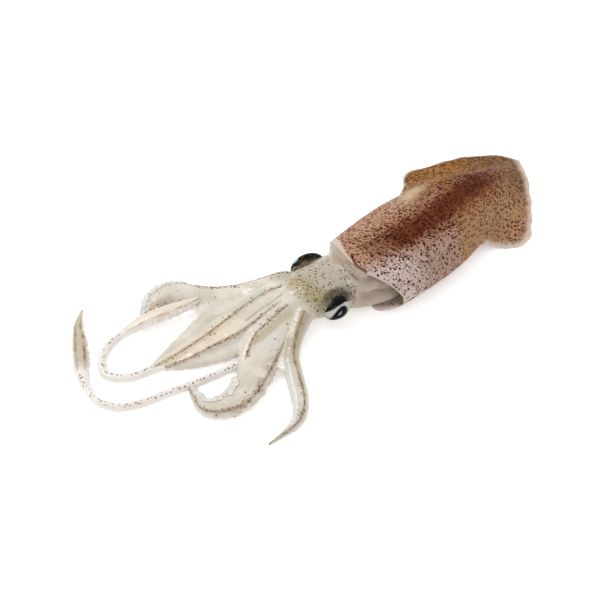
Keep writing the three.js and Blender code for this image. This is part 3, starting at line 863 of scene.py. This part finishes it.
# %% [markdown]
# ## The eyes
# A squid's eye is a large wet ball in the side of the head, with a silver ring round a dark pupil and
# a black band above it, half covered by a thin lid. The ball is a separate ellipsoid whose radius
# swells out of the flesh inside the lid's opening and dips under the flesh outside it.


# %% Grid of an ellipsoid, with zones by direction
def directions(rows, sides):
    """Unit directions over a sphere, ring by ring from the bottom to the top, without the poles."""
    tall = np.linspace(-np.pi / 2, np.pi / 2, rows + 2)[1:-1, None]
    turn = np.linspace(0, 2 * np.pi, sides, endpoint=False)[None, :]
    flat = np.cos(tall)
    return np.stack([flat * np.cos(turn), flat * np.sin(turn), np.sin(tall) + 0 * turn], -1)


def head_turn(angle):
    """The matrix that turns rows of points about the upright axis."""
    c, s = math.cos(angle), math.sin(angle)
    return np.array([[c, s, 0], [-s, c, 0], [0, 0, 1]])


def ball_grid(eye, swell):
    """The directions times the eye's three radii and a swelling, turned with the head."""
    local = directions(*swell.shape) * np.array(eye["radii"]) * swell[..., None]
    return closed_grid(placed(local @ head_turn(-HEAD_YAW) + eye["middle"]))


def rise_of(ways, eye):
    """The angle up from the outermost place of the ball, in degrees: 90 is its top."""
    return np.degrees(np.arctan2(ways[..., 2], ways[..., 1] * eye["side"]))


def lid_line(ways, eye):
    """How far inside the lid's opening a direction is, in degrees: 0 at the lid, positive inside."""
    low, high = eye["lid"]
    return (high - low) / 2 - np.abs(rise_of(ways, eye) - (low + high) / 2) - 45 * np.abs(ways[..., 0]) ** 6


flesh_ways = directions(40, 72)
bulges = []
for eye in EYES.values():
    inside = lid_line(flesh_ways, eye)
    bulges.append(ball_grid(eye, 1 + 0.03 * bump(inside, -6, 8) - 0.12 * ramp(inside, -3, 6)))

# %% Head and arms in one skin
NECK_LOBE = [
    [20, -38, 18, 5, 5], [12, -39.5, 18.5, 6, 5.5], [4, -37.5, 19.5, 6.5, 5.5], [-3, -33, 20, 5.5, 4.5],
    [-7, -30, 19, 3, 3],
]
grids = [limb_grid(HEAD), limb_grid(FUNNEL, count=60), limb_grid(NECK_LOBE, count=60), collar_grid()]
grids += bulges
grids += [limb_grid(ARMS[name], keel, **ARM_FORM) for name, keel in KEELS.items()]
grids += [web_grid(*pair) for pair in WEBS]
flesh = fused("head_and_arms", grids, FLESH_VOXEL, EASE_ROUNDS)
x_mm, y_mm, z_mm = (per_point(flesh, "co") / MM).T
crown = ramp(x_mm, -95, -60) * (1 - ramp(x_mm, -34, -24)) * ramp(z_mm, 3, 6)
neck_roll = ramp(x_mm, -12, -6) * (1 - ramp(x_mm, 4, 10)) * ramp(z_mm, 12, 18) * ramp(y_mm, -34, -28)
move_points(flesh, eased(flesh, np.maximum(crown, neck_roll), 30))

# %% [markdown]
# The finish needs to know which limb each point of the melted skin belongs to, how far along it the
# point is and on which side. That is read back from the same curves: the nearest place on each curve,
# and the offset from it in shares of the limb's half sizes.


# %% Reading the limbs
def limb_reading(points, stations, count=160):
    """For each point: its nearest curve place as a share s, its offsets across and up in half sizes, and
    how far it lies outside the limb's section."""
    path = limb_frame(stations, count)
    at = path["at"]
    squares = (points**2).sum(1)[:, None] + (at**2).sum(1)[None, :] - 2 * points @ at.T
    near = squares.argmin(1)
    offset = points - at[near]
    out = np.einsum("ij,ij->i", offset, path["across"][near]) / path["size"][near, 0]
    up = np.einsum("ij,ij->i", offset, path["rise"][near]) / path["size"][near, 1]
    beyond = (np.hypot(out, up) - 1) * path["size"][near].min(1)
    wide = path["size"][near, 0]
    return {"s": near / (count - 1), "out": out, "up": up, "beyond": beyond, "wide": wide}


points = per_point(flesh, "co")
roughen(flesh, points, [(0.12, 9, 11), (0.07, 3.5, 12)])
limbs = {"head": HEAD, "funnel": FUNNEL, **ARMS}
readings = {name: limb_reading(points, stations) for name, stations in limbs.items()}
HEAD_FIRST = 1.5 * MM
beyond = np.stack([reading["beyond"] for reading in readings.values()])
beyond[0] -= HEAD_FIRST
owner = beyond.argmin(0)

# %% Reading the eyes, and easing what was read
# The black band over the near eye: how far it is lifted, and how it climbs along the ball, in degrees.
BAND_LIFT, BAND_TILT = -4.0, 14.0


def ball_angles(points, eye):
    """For each point, its angle up round an eye, its place along it, and its distance in radii."""
    local = (measured(points) - eye["middle"]) @ head_turn(HEAD_YAW) / np.array(eye["radii"])
    far_out = np.linalg.norm(local, axis=1)
    return rise_of(local, eye), local[:, 0] / far_out, far_out


def softened(piece, values, rounds=6):
    """Values eased over the mesh: each becomes the mean of itself and its neighbours, in rounds."""
    ends = edge_ends(piece)
    count = beside(np.ones(len(values)), ends) + 1
    for _ in range(rounds):
        values = (values + beside(values, ends)) / count
    return values


def owned(key):
    """One reading of each point's own limb."""
    return np.stack([reading[key] for reading in readings.values()])[owner, np.arange(len(points))]


def on_limb(*names):
    """Whether each point belongs to one of these limbs."""
    return np.isin(owner, [list(limbs).index(name) for name in names])


# %% Lines and patches on the flesh
MARKS = {
    "slit": [[-39.5, -7.7], [-46.5, -7.4], [-56, -5.7], [-68, -5]],
    "strip": [[-44, -20.6], [-53, -19.7], [-61, -19.6], [-74, -19]],
    # fold: a painted highlight along the ridge at the base of a near arm
    "fold_highlight": [[-38.9, -22], [-46, -25.8], [-55.4, -32.2]],
    # valley: painted shade in the crease between two far arms
    "valley_shade": [[-80, 15.5], [-69.7, 9.6], [-58.4, 6], [-44, 4]],
    "olive": [[-29, -9.5], [-28.5, -19], [-26.5, -27]],
    # amber: a painted yellow-brown shadow between the head and the neck
    "amber_shadow": [[-4.4, -35, 20.3], [-3.2, -36.5, 18.8], [-1.3, -38.2, 16.8], [1.4, -42.8, 11.1]],
    "far_line": [[-67, 43.3], [-64.8, 38.2], [-61, 33], [-55.2, 28.3], [-49.2, 21.7], [-43.7, 15.6]],
    "far_strip": [[-99.9, 49.4], [-93.6, 48.1], [-88.1, 46.9], [-85.1, 46.4]],
    # lobe_shadow: a painted dark shadow line under the neck lobe
    "lobe_shadow": [[-5, -35.5, 17.5], [1.2, -39.4, 15.8], [6.9, -42.6, 14.8], [12.5, -44.6, 13.2]],
}
keep(flesh, {name: line_gap(points, line, plan=len(line[0]) == 2) for name, line in MARKS.items()})

# %% Masks of the head and arms
x_mm, y_mm, z_mm = (points / MM).T
share, out, wide = (owned(key) for key in ("s", "out", "wide"))
is_arm = ~on_limb("head", "funnel")
keels = np.array([(FAR_OFF, FAR_OFF)] * 2 + list(KEELS.values()))[owner]
keel_line = keels[:, 0] + (keels[:, 1] - keels[:, 0]) * share
has_keel = is_arm & ~on_limb(*NO_KEEL) & (owned("up") > -0.2)
behind_head = x_mm - np.interp(y_mm, [-33, -25, -15, 0], [-2.7, -1.1, -2.6, 8.5])
tan_line = ramp(-x_mm, 60, 78) * bump(y_mm - 1 - 0.1 * (-x_mm - 80), 0, 7)
flesh_masks = {
    "keel": np.where(has_keel, np.abs(out - keel_line) * wide / MM, FAR_OFF),
    "lane": out * wide + 0.05 * owner,
    "run": 0.018 * share,
    "keel_on": has_keel * ramp(share, 0.0, 0.05),
    "margin": np.where(is_arm, (1 - np.abs(out)) * wide / MM, FAR_OFF),
    "top": ramp(z_mm, 6, 12),
    "head": (1 - ramp(-x_mm, 26, 38)) * ramp(z_mm, 5, 12) * (1 - ramp(behind_head, -3, 0.5)),
    "neck": ramp(behind_head, -3, 1),
    "neck_side": ramp(behind_head, -1, 1) * bump(y_mm, -27, 5),
    "throat": ramp(-y_mm, 33, 38) * ramp(x_mm, -14, -8),
    "web": bump(np.hypot((x_mm + 62) / 16, (y_mm + 29) / 10), 0, 1),
    "tan": softened(flesh, on_limb("back_left", "back_right") * tan_line),
    "stain": softened(flesh, on_limb("near_lower") * bump(out, 0.7, 0.4) * bump(share, 0.5, 0.25), 4),
    "grey_base": softened(flesh, on_limb("near_side") * (1 - ramp(share, 0.2, 0.5)), 14),
    "pale_side": softened(flesh, on_limb("near_side") * ramp(-out, 0.1, 0.5) * ramp(share, 0.3, 0.45), 10),
    "tip": is_arm * ramp(share, 0.86, 1.0),
}

# %% The shades round the eyes
angle, along, far_out = ball_angles(points, EYES["near"])
angle = angle - BAND_LIFT - BAND_TILT * along
over_eye = ramp(angle, 44, 52) * (1 - ramp(angle, 112, 160)) * (1 - ramp(far_out, 1.3, 2.0))
on_band = ramp(angle, 40, 50) * (1 - ramp(angle, 84, 128)) * (1 - ramp(far_out, 1.25, 1.7))
under_eye = (1 - ramp(angle, 20, 60)) * ramp(angle, -70, -40) * (1 - ramp(far_out, 1.3, 1.7))
flesh_masks["brow"] = over_eye * bump(along, 0, 0.9)
flesh_masks["black"] = on_band * bump(along, 0.1, 0.85)
flesh_masks["white"] = under_eye * ramp(-y_mm, 24, 28)
angle, along, far_out = ball_angles(points, EYES["far"])
over_eye = ramp(angle, 100, 120) * (1 - ramp(angle, 140, 165))
flesh_masks["far_brow"] = over_eye * (1 - ramp(far_out, 1.05, 1.35))
keep(flesh, flesh_masks)
print("flesh points:", len(points))

# %% [markdown]
# ## The flesh's finish
# Arms and head are almost colourless flesh, milky and wet, with grey-beige speckle on the head, an
# olive patch before the eyes, and a dotted brown line along each keel. Light goes a few millimetres
# into it, so the surface shader gets some subsurface scattering rather than a flat colour.

# %% Finish of the flesh: the ground colours
finish, tree, shader, place = new_finish(
    "squid_flesh", rough=0.34, soft_depth=0.002, soft_share=0.2, coat=0.3, shine=0.08
)
masks = masks_in(tree, [*MARKS, *flesh_masks])
base = mottled(tree, place, 0.014, (211, 203, 188), (226, 218, 205))
base = layered(tree, base, masks, place, [("tan", 0.7, (234, 217, 191))])
streak = tree.nodes.new("ShaderNodeCombineXYZ")
put(tree, masks["lane"], streak.inputs[0])
put(tree, masks["run"], streak.inputs[1])
streaky = cloud(tree, streak.outputs[0], 0.0016, 2.0)
base = blend(tree, fade(tree, streaky, 0.52, 0.7, 0.0, 0.22), base, paint(186, 174, 150))
base = blend(tree, fade(tree, streaky, 0.46, 0.3, 0.0, 0.25), base, paint(232, 229, 220))
base = layered(tree, base, masks, place, [
    # the first layer here is painted shade in the crease between two far arms
    ("valley_shade", 0.8, (198, 197, 182), 1.5, 4.5, 0.008, 1.0), ("web", 0.8, (212, 210, 200)),
    ("pale_side", 0.7, (222, 222, 216)), ("grey_base", 0.9, (180, 167, 142)),
    ("head", 0.9, (186, 177, 160)), ("neck", 1.0, (178, 160, 144)), ("neck_side", 0.9, (148, 124, 106)),
    # the amber layer is a painted yellow-brown shadow between the head and the neck
    ("amber_shadow", 0.75, (152, 122, 80), 0.5, 4.0), ("throat", 0.7, (190, 174, 158)),
    ("tip", 0.5, (214, 208, 184)), ("white", 0.8, (216, 216, 206)),
])

# %% Finish of the flesh: lines and patches
base = layered(tree, base, masks, place, [
    ("strip", 0.75, (196, 182, 146), 0.8, 3.4, 0.006, 0.5), ("slit", 0.55, (150, 142, 126), 0.2, 1.1),
    # the fold layer is a painted highlight along the ridge at the base of a near arm
    # the lobe layer is a painted shadow line under the neck lobe
    ("fold_highlight", 0.5, (228, 226, 220), 0.0, 2.6), ("lobe_shadow", 0.6, (116, 92, 70), 0.4, 1.8, 0.003, 0.2),
])
olive = fade(tree, ragged(tree, masks["olive"], place, 0.006, 1.0), 1.5, 9.0, 1.0, 0.0)
olive = product(tree, olive, masks["top"])
base = blend(tree, product(tree, olive, 0.85), base, paint(174, 158, 118))
brow = sums(tree, "MAXIMUM", masks["brow"], masks["far_brow"])
brow = fade(tree, ragged(tree, brow, place, 0.003, 0.1), 0.1, 0.85)
base = blend(tree, product(tree, brow, 0.8), base, paint(58, 52, 28))
put(tree, fade(tree, brow, 0.0, 1.0, 0.3, 0.0), shader.inputs["Coat Weight"])
uneven_keel = ragged(tree, masks["keel"], place, 0.006, 0.3)
line = product(tree, fade(tree, uneven_keel, 0.1, 1.8, 1.0, 0.0), masks["keel_on"])
base = blend(tree, product(tree, line, 0.6), base, paint(158, 132, 96))

# %% Finish of the flesh: spots and clear edges
stain = product(tree, masks["stain"], fade(tree, cloud(tree, place, 0.004), 0.42, 0.6))
base = blend(tree, product(tree, stain, 0.45), base, paint(158, 128, 98))
base = layered(tree, base, masks, place, [("far_strip", 0.5, (192, 172, 142), 0.4, 3.0, 0.005, 0.7)])
far_line = fade(tree, ragged(tree, masks["far_line"], place, 0.006, 0.5), 0.8, 2.4, 1.0, 0.0)
near_keel = product(tree, fade(tree, uneven_keel, 0.1, 1.3, 1.0, 0.0), masks["keel_on"])
dotted = sums(tree, "MAXIMUM", near_keel, sums(tree, "MAXIMUM", far_line, stain))
fine = sacs(tree, place, 0.0011, 0.32, 0.6, fade(tree, dotted, 0.0, 1.0, 0.05, 0.85))
base = blend(tree, product(tree, fine, dotted, 0.85), base, paint(94, 72, 46))
stipple = sacs(tree, place, 0.0008, 0.25, 0.5, 0.6)
base = blend(tree, product(tree, stipple, masks["tan"], 0.35), base, paint(178, 150, 112))
speckle = sacs(tree, place, 0.0011, 0.25, 0.5, 0.8)
base = blend(tree, product(tree, speckle, masks["head"], 0.55), base, paint(126, 116, 98))
spread = sums(tree, "MAXIMUM", product(tree, olive, 0.95), product(tree, masks["head"], 0.6))
tiny = sacs(tree, place, 0.0013, 0.2, 0.45, product(tree, olive, 0.55))
base = blend(tree, product(tree, tiny, 0.85), base, paint(104, 86, 56))
crisp = sacs(tree, place, 0.0018, 0.18, 0.38, spread)
base = blend(tree, product(tree, crisp, 0.9), base, paint(70, 56, 36))
sparse = sacs(tree, place, 0.0024, 0.16, 0.3, fade(tree, masks["keel"], 0.8, 4.0, 0.7, 0.1))
base = blend(tree, product(tree, sparse, masks["keel_on"], 0.8), base, paint(112, 84, 56))
black = fade(tree, ragged(tree, masks["black"], place, 0.003, 0.12), 0.2, 0.8)
base = blend(tree, black, base, paint(26, 22, 14))
off_head = fade(tree, masks["head"], 0.0, 0.3, 1.0, 0.0)
clear = product(tree, fade(tree, masks["margin"], -1.0, 2.2, 0.5, 0.0), off_head)
base = blend(tree, clear, base, paint(234, 231, 224))
tree.links.new(base, shader.inputs["Base Color"])
relief_of(tree, shader, cloud(tree, place, 0.0022), 0.35, 0.0005)
flesh.data.materials.append(finish)
print("flesh finish has", len(tree.nodes), "nodes")

# %% [markdown]
# The eyes' finish goes by angle: a navy pupil low on the ball, silver round it and a black band above.
# The near band fades to grey-blue at its rear end. On the far eye only the dark top of the ball shows,
# with an orange gleam where the light comes through, and a blue-white edge.

# %% Finish of the eyes
finish, tree, shader, place = new_finish(
    "eye_wet", rough=0.15, soft_depth=0.001, soft_share=0.0, coat=0.0, shine=0.03
)
masks = masks_in(tree, ["rise", "back", "pupil", "glint", "gleam", "edge"])
uneven = ragged(tree, masks["rise"], place, 0.004, 3.0)
# The silver is painted grey towards the bottom of the ball: painted shade on its lower side.
silver_shaded_below = blend(tree, fade(tree, uneven, -40.0, 20.0), paint(132, 128, 124), paint(202, 200, 196))
dark = blend(tree, fade(tree, masks["back"], 0.5, 0.9), paint(26, 24, 20), paint(104, 108, 114))
streaks = fade(tree, cloud(tree, place, 0.004), 0.45, 0.65, 0.0, 0.55)
dark = blend(tree, streaks, dark, paint(84, 86, 78))
base = blend(tree, fade(tree, uneven, 44.0, 54.0), silver_shaded_below, dark)
olive_black = mottled(tree, place, 0.002, (54, 52, 38), (86, 84, 68), soft=0.1)
base = blend(tree, fade(tree, uneven, 70.0, 96.0), base, olive_black)
base = layered(tree, base, masks, place, [
    ("pupil", 1.0, (24, 28, 38), 0.84, 1.06), ("glint", 0.8, (178, 184, 192), 0.4, 1.2),
    ("gleam", 0.8, (176, 116, 58), 0.2, 1.0), ("edge", 0.9, (176, 190, 196), 0.6, 1.0),
])
tree.links.new(base, shader.inputs["Base Color"])

# %% Eyes
eye_ways = directions(70, 110)
ways = np.vstack([eye_ways.reshape(-1, 3), [0, 0, -1], [0, 0, 1]])
along = ways[:, 0]
eyes = []
for name, eye in EYES.items():
    swell = 0.93 + 0.08 * ramp(lid_line(eye_ways, eye), -5, 5)
    ball = new_piece("eye_" + name, *ball_grid(eye, swell))
    angle = rise_of(ways, eye)
    is_far = name == "far"
    hidden = 0.0 if is_far else FAR_OFF
    # A zone is a distance from its middle in its half sizes: a share along the ball, and degrees up it.
    keep(ball, {
        "rise": 72 + 0.6 * (angle - 90) if is_far else angle - BAND_LIFT - BAND_TILT * along,
        "back": along - is_far,
        "pupil": np.hypot((along + 0.08) / 0.64, (angle + 9 - 35 * (along + 0.08)) / 46),
        "glint": np.hypot((along + 0.06) / 0.18, (angle - 10 - 45 * along) / 6.5),
        "gleam": np.hypot((along + 0.36) / 0.3, (angle - 117) / 11) + hidden,
        "edge": np.hypot((along + 0.62) / 0.2, (angle - 68) / 16) + hidden,
    })
    ball.data.materials.append(finish)
    eyes.append(ball)
print("eyes:", [ball.name for ball in eyes])

# %% [markdown]
# ## The tentacles
# The two feeding tentacles are longer than the arms. Each is a smooth round stalk, dotted along one
# side, that ends in a flat club, which carries the suckers under it and a thin frilled edge.

# %% Tentacles
tentacle_grids = [limb_grid(stations, **TENTACLE_FORM) for stations in TENTACLES.values()]
tentacles = new_piece("tentacles", *joined(tentacle_grids))
points = per_point(tentacles, "co")
outer, inner = (limb_reading(points, stations, 240) for stations in TENTACLES.values())
first = outer["beyond"] < inner["beyond"]
share, out, wide, up = (np.where(first, outer[key], inner[key]) for key in ("s", "out", "wide", "up"))
one_side = ramp(-out, -0.2, 0.1) * (0.5 + 0.5 * ramp(share, 0.86, 0.94))
tentacle_masks = {
    "club": np.where(first, ramp(share, 0.68, 0.74), ramp(share, 0.62, 0.7)),
    "side_gap": np.where(first, np.abs(out - 0.25), np.abs(out + 0.1)) * wide / MM,
    "edge": (1 - np.abs(out)) * wide / MM,
    "out": out,
    "brown_club": first,
    "above": ramp(up, -0.2, 0.2),
    "striped": np.where(first, 1.0, one_side),
}
keep(tentacles, tentacle_masks)
print("tentacle points:", len(points))

# %% Finish of the tentacles
finish, tree, shader, place = new_finish(
    "tentacle_flesh", rough=0.34, soft_depth=0.002, soft_share=0.2, coat=0.1, shine=0.3
)
masks = masks_in(tree, tentacle_masks)
base = mottled(tree, place, 0.01, (234, 228, 220), (242, 238, 232))
stalk = sums(tree, "SUBTRACT", 1.0, masks["club"])
row = product(tree, fade(tree, masks["side_gap"], 0.7, 1.5, 1.0, 0.0), masks["above"], stalk)
base = blend(tree, product(tree, row, 0.25), base, paint(224, 208, 194))
dots = sacs(tree, place, 0.0018, 0.24, 0.4, 0.9)
base = blend(tree, product(tree, dots, row, 0.9), base, paint(112, 86, 72))
flat = product(tree, masks["club"], fade(tree, masks["edge"], 0.2, 1.8))
flat = product(tree, flat, fade(tree, masks["brown_club"], 0.0, 1.0, 0.6, 0.85))
tint = blend(tree, masks["brown_club"], paint(222, 203, 180), paint(190, 174, 148))
base = blend(tree, flat, base, tint)
strips = sums(tree, "ABSOLUTE", ragged(tree, masks["out"], place, 0.008, 0.12))
strips = fade(tree, sums(tree, "ABSOLUTE", sums(tree, "SUBTRACT", strips, 0.45)), 0.05, 0.24, 1.0, 0.0)
patches = fade(tree, cloud(tree, place, 0.006), 0.4, 0.6, 0.2, 1.0)
brown = product(tree, strips, masks["striped"], masks["club"], masks["above"], patches)
base = blend(tree, product(tree, brown, 0.85), base, paint(124, 100, 60))
tree.links.new(base, shader.inputs["Base Color"])
relief_of(tree, shader, cloud(tree, place, 0.0025), 0.25, 0.0004)
tentacles.data.materials.append(finish)

# %% [markdown]
# ## The suckers
# Suckers are small stalked cups with a horny ring. They show where an arm or a club is turned over at
# its edge. Each is a lathe of one short profile, and all of them are one mesh.


# %% Grid of a cup, and rows of them
CUP_PROFILE = np.array([[0.8, -0.5], [1.0, 0.0], [0.92, 0.3], [0.66, 0.38], [0.4, 0.24]])
CUP_LIFT = 0.1


def cup_grid(spot, facing, radius):
    """One cup: up the outside, over the rim and down to the pit, as rings round the way it faces."""
    side = np.cross(facing, [0.3, 0.2, 0.9])
    side /= np.linalg.norm(side)
    other = np.cross(facing, side)
    turn = np.linspace(0, 2 * np.pi, 12, endpoint=False)[None, :, None]
    flat = np.cos(turn) * side + np.sin(turn) * other
    wide, up = CUP_PROFILE[:, :1, None], CUP_PROFILE[:, 1:, None]
    return closed_grid(spot + radius * (wide * flat + up * facing))


def patch_of_cups(stations, start, end, outs, count, radius, seed):
    """Cups on a limb's back near one edge: a row for each offset across, each on the oval's own surface
    and a little over it, facing up and out, a little uneven in size and place."""
    draw = np.random.default_rng(seed)
    path = limb_frame(stations, 400)
    grids = []
    for row, offset in enumerate(outs):
        for share in np.linspace(start, end, count) + 0.5 * row * (end - start) / count:
            k = int(min(share, 0.99) * 399)
            out = offset + draw.normal(0, 0.05)
            up = (1 - min(abs(out), 0.98) ** 2.35) ** 0.425
            wide, high = path["size"][k]
            facing = path["rise"][k] + 0.4 * np.sign(out) * path["across"][k] + draw.normal(0, 0.15, 3)
            facing /= np.linalg.norm(facing)
            over = path["rise"][k] * (high * up + CUP_LIFT * MM)
            spot = path["at"][k] + path["across"][k] * wide * out + over
            grids.append(cup_grid(spot, facing, radius * draw.uniform(0.75, 1.2) * MM))
    return grids


# %% Suckers
# stations, start and end share, offsets across, count in a row, radius in millimetres and seed
SUCKER_ROWS = [
    (ARMS["far_side"], 0.6, 0.97, (-0.98, -0.8, -0.6), 17, 1.5, 1),
    (ARMS["near_lower"], 0.44, 0.92, (-1.0, -0.8, -0.62), 12, 2.0, 2),
    (TENTACLES["outer"], 0.72, 0.95, (-0.8,), 22, 0.6, 3),
]
cups = [cup for rows in SUCKER_ROWS for cup in patch_of_cups(*rows)]
suckers = new_piece("suckers", *joined(cups))
finish, tree, shader, place = new_finish(
    "sucker_flesh", rough=0.34, soft_depth=0.0015, soft_share=0.2, coat=0.15, shine=0.35
)
base = mottled(tree, place, 0.004, (218, 213, 202), (234, 231, 224))
tree.links.new(base, shader.inputs["Base Color"])
suckers.data.materials.append(finish)
print("suckers:", len(cups))

# %% [markdown]
# ## The table and the light
# The table is matt white. It glows a little and is lit from all round, as in a light tent, so that the
# shadows stay faint. One large soft lamp behind the squid gives the wet flesh its highlights.

# %% Table, world and lamp
TABLE_HALF, TABLE_WHITE, TABLE_GLOW = 3.0, 0.9, 0.34
LAMP_WATTS, LAMP_SIZE, LAMP_AT = 3.4, 0.28, (-0.15, 0.5, 0.8)

corners = TABLE_HALF * np.array([[-1, -1, 0], [1, -1, 0], [1, 1, 0], [-1, 1, 0]])
floor = new_piece("table", corners, np.array([[0, 1, 2, 3]]))
finish = bpy.data.materials.new("white_table")
finish.use_nodes = True
shader = finish.node_tree.nodes["Principled BSDF"]
shader.inputs["Base Color"].default_value = (TABLE_WHITE, TABLE_WHITE, TABLE_WHITE, 1)
shader.inputs["Roughness"].default_value = 0.9
shader.inputs["Emission Color"].default_value = (1, 1, 1, 1)
shader.inputs["Emission Strength"].default_value = TABLE_GLOW
floor.data.materials.append(finish)
world = bpy.data.worlds.new("studio")
world.use_nodes = True
surround = world.node_tree.nodes["Background"]
surround.inputs["Color"].default_value = (1, 1, 1, 1)
surround.inputs["Strength"].default_value = 1.0
bpy.context.scene.world = world
lamp = bpy.data.objects.new("softbox", bpy.data.lights.new("softbox", "AREA"))
lamp.data.energy = LAMP_WATTS
lamp.data.size = LAMP_SIZE
lamp.location = LAMP_AT
lamp.rotation_euler = (-lamp.location).to_track_quat("-Z", "Y").to_euler()
bpy.context.scene.collection.objects.link(lamp)
bpy.context.scene.view_settings.view_transform = "Standard"
print("lamp:", LAMP_WATTS, "watts,", LAMP_SIZE, "metres wide")

# %% Hand the pieces to the frame
SLOTS = {
    mantle: "mantle_skin", flesh: "squid_flesh", tentacles: "squid_flesh", suckers: "squid_flesh",
    **{eye: "eye_wet" for eye in eyes},
}
for piece, slot in SLOTS.items():
    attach(piece, "root")
    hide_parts("squid")
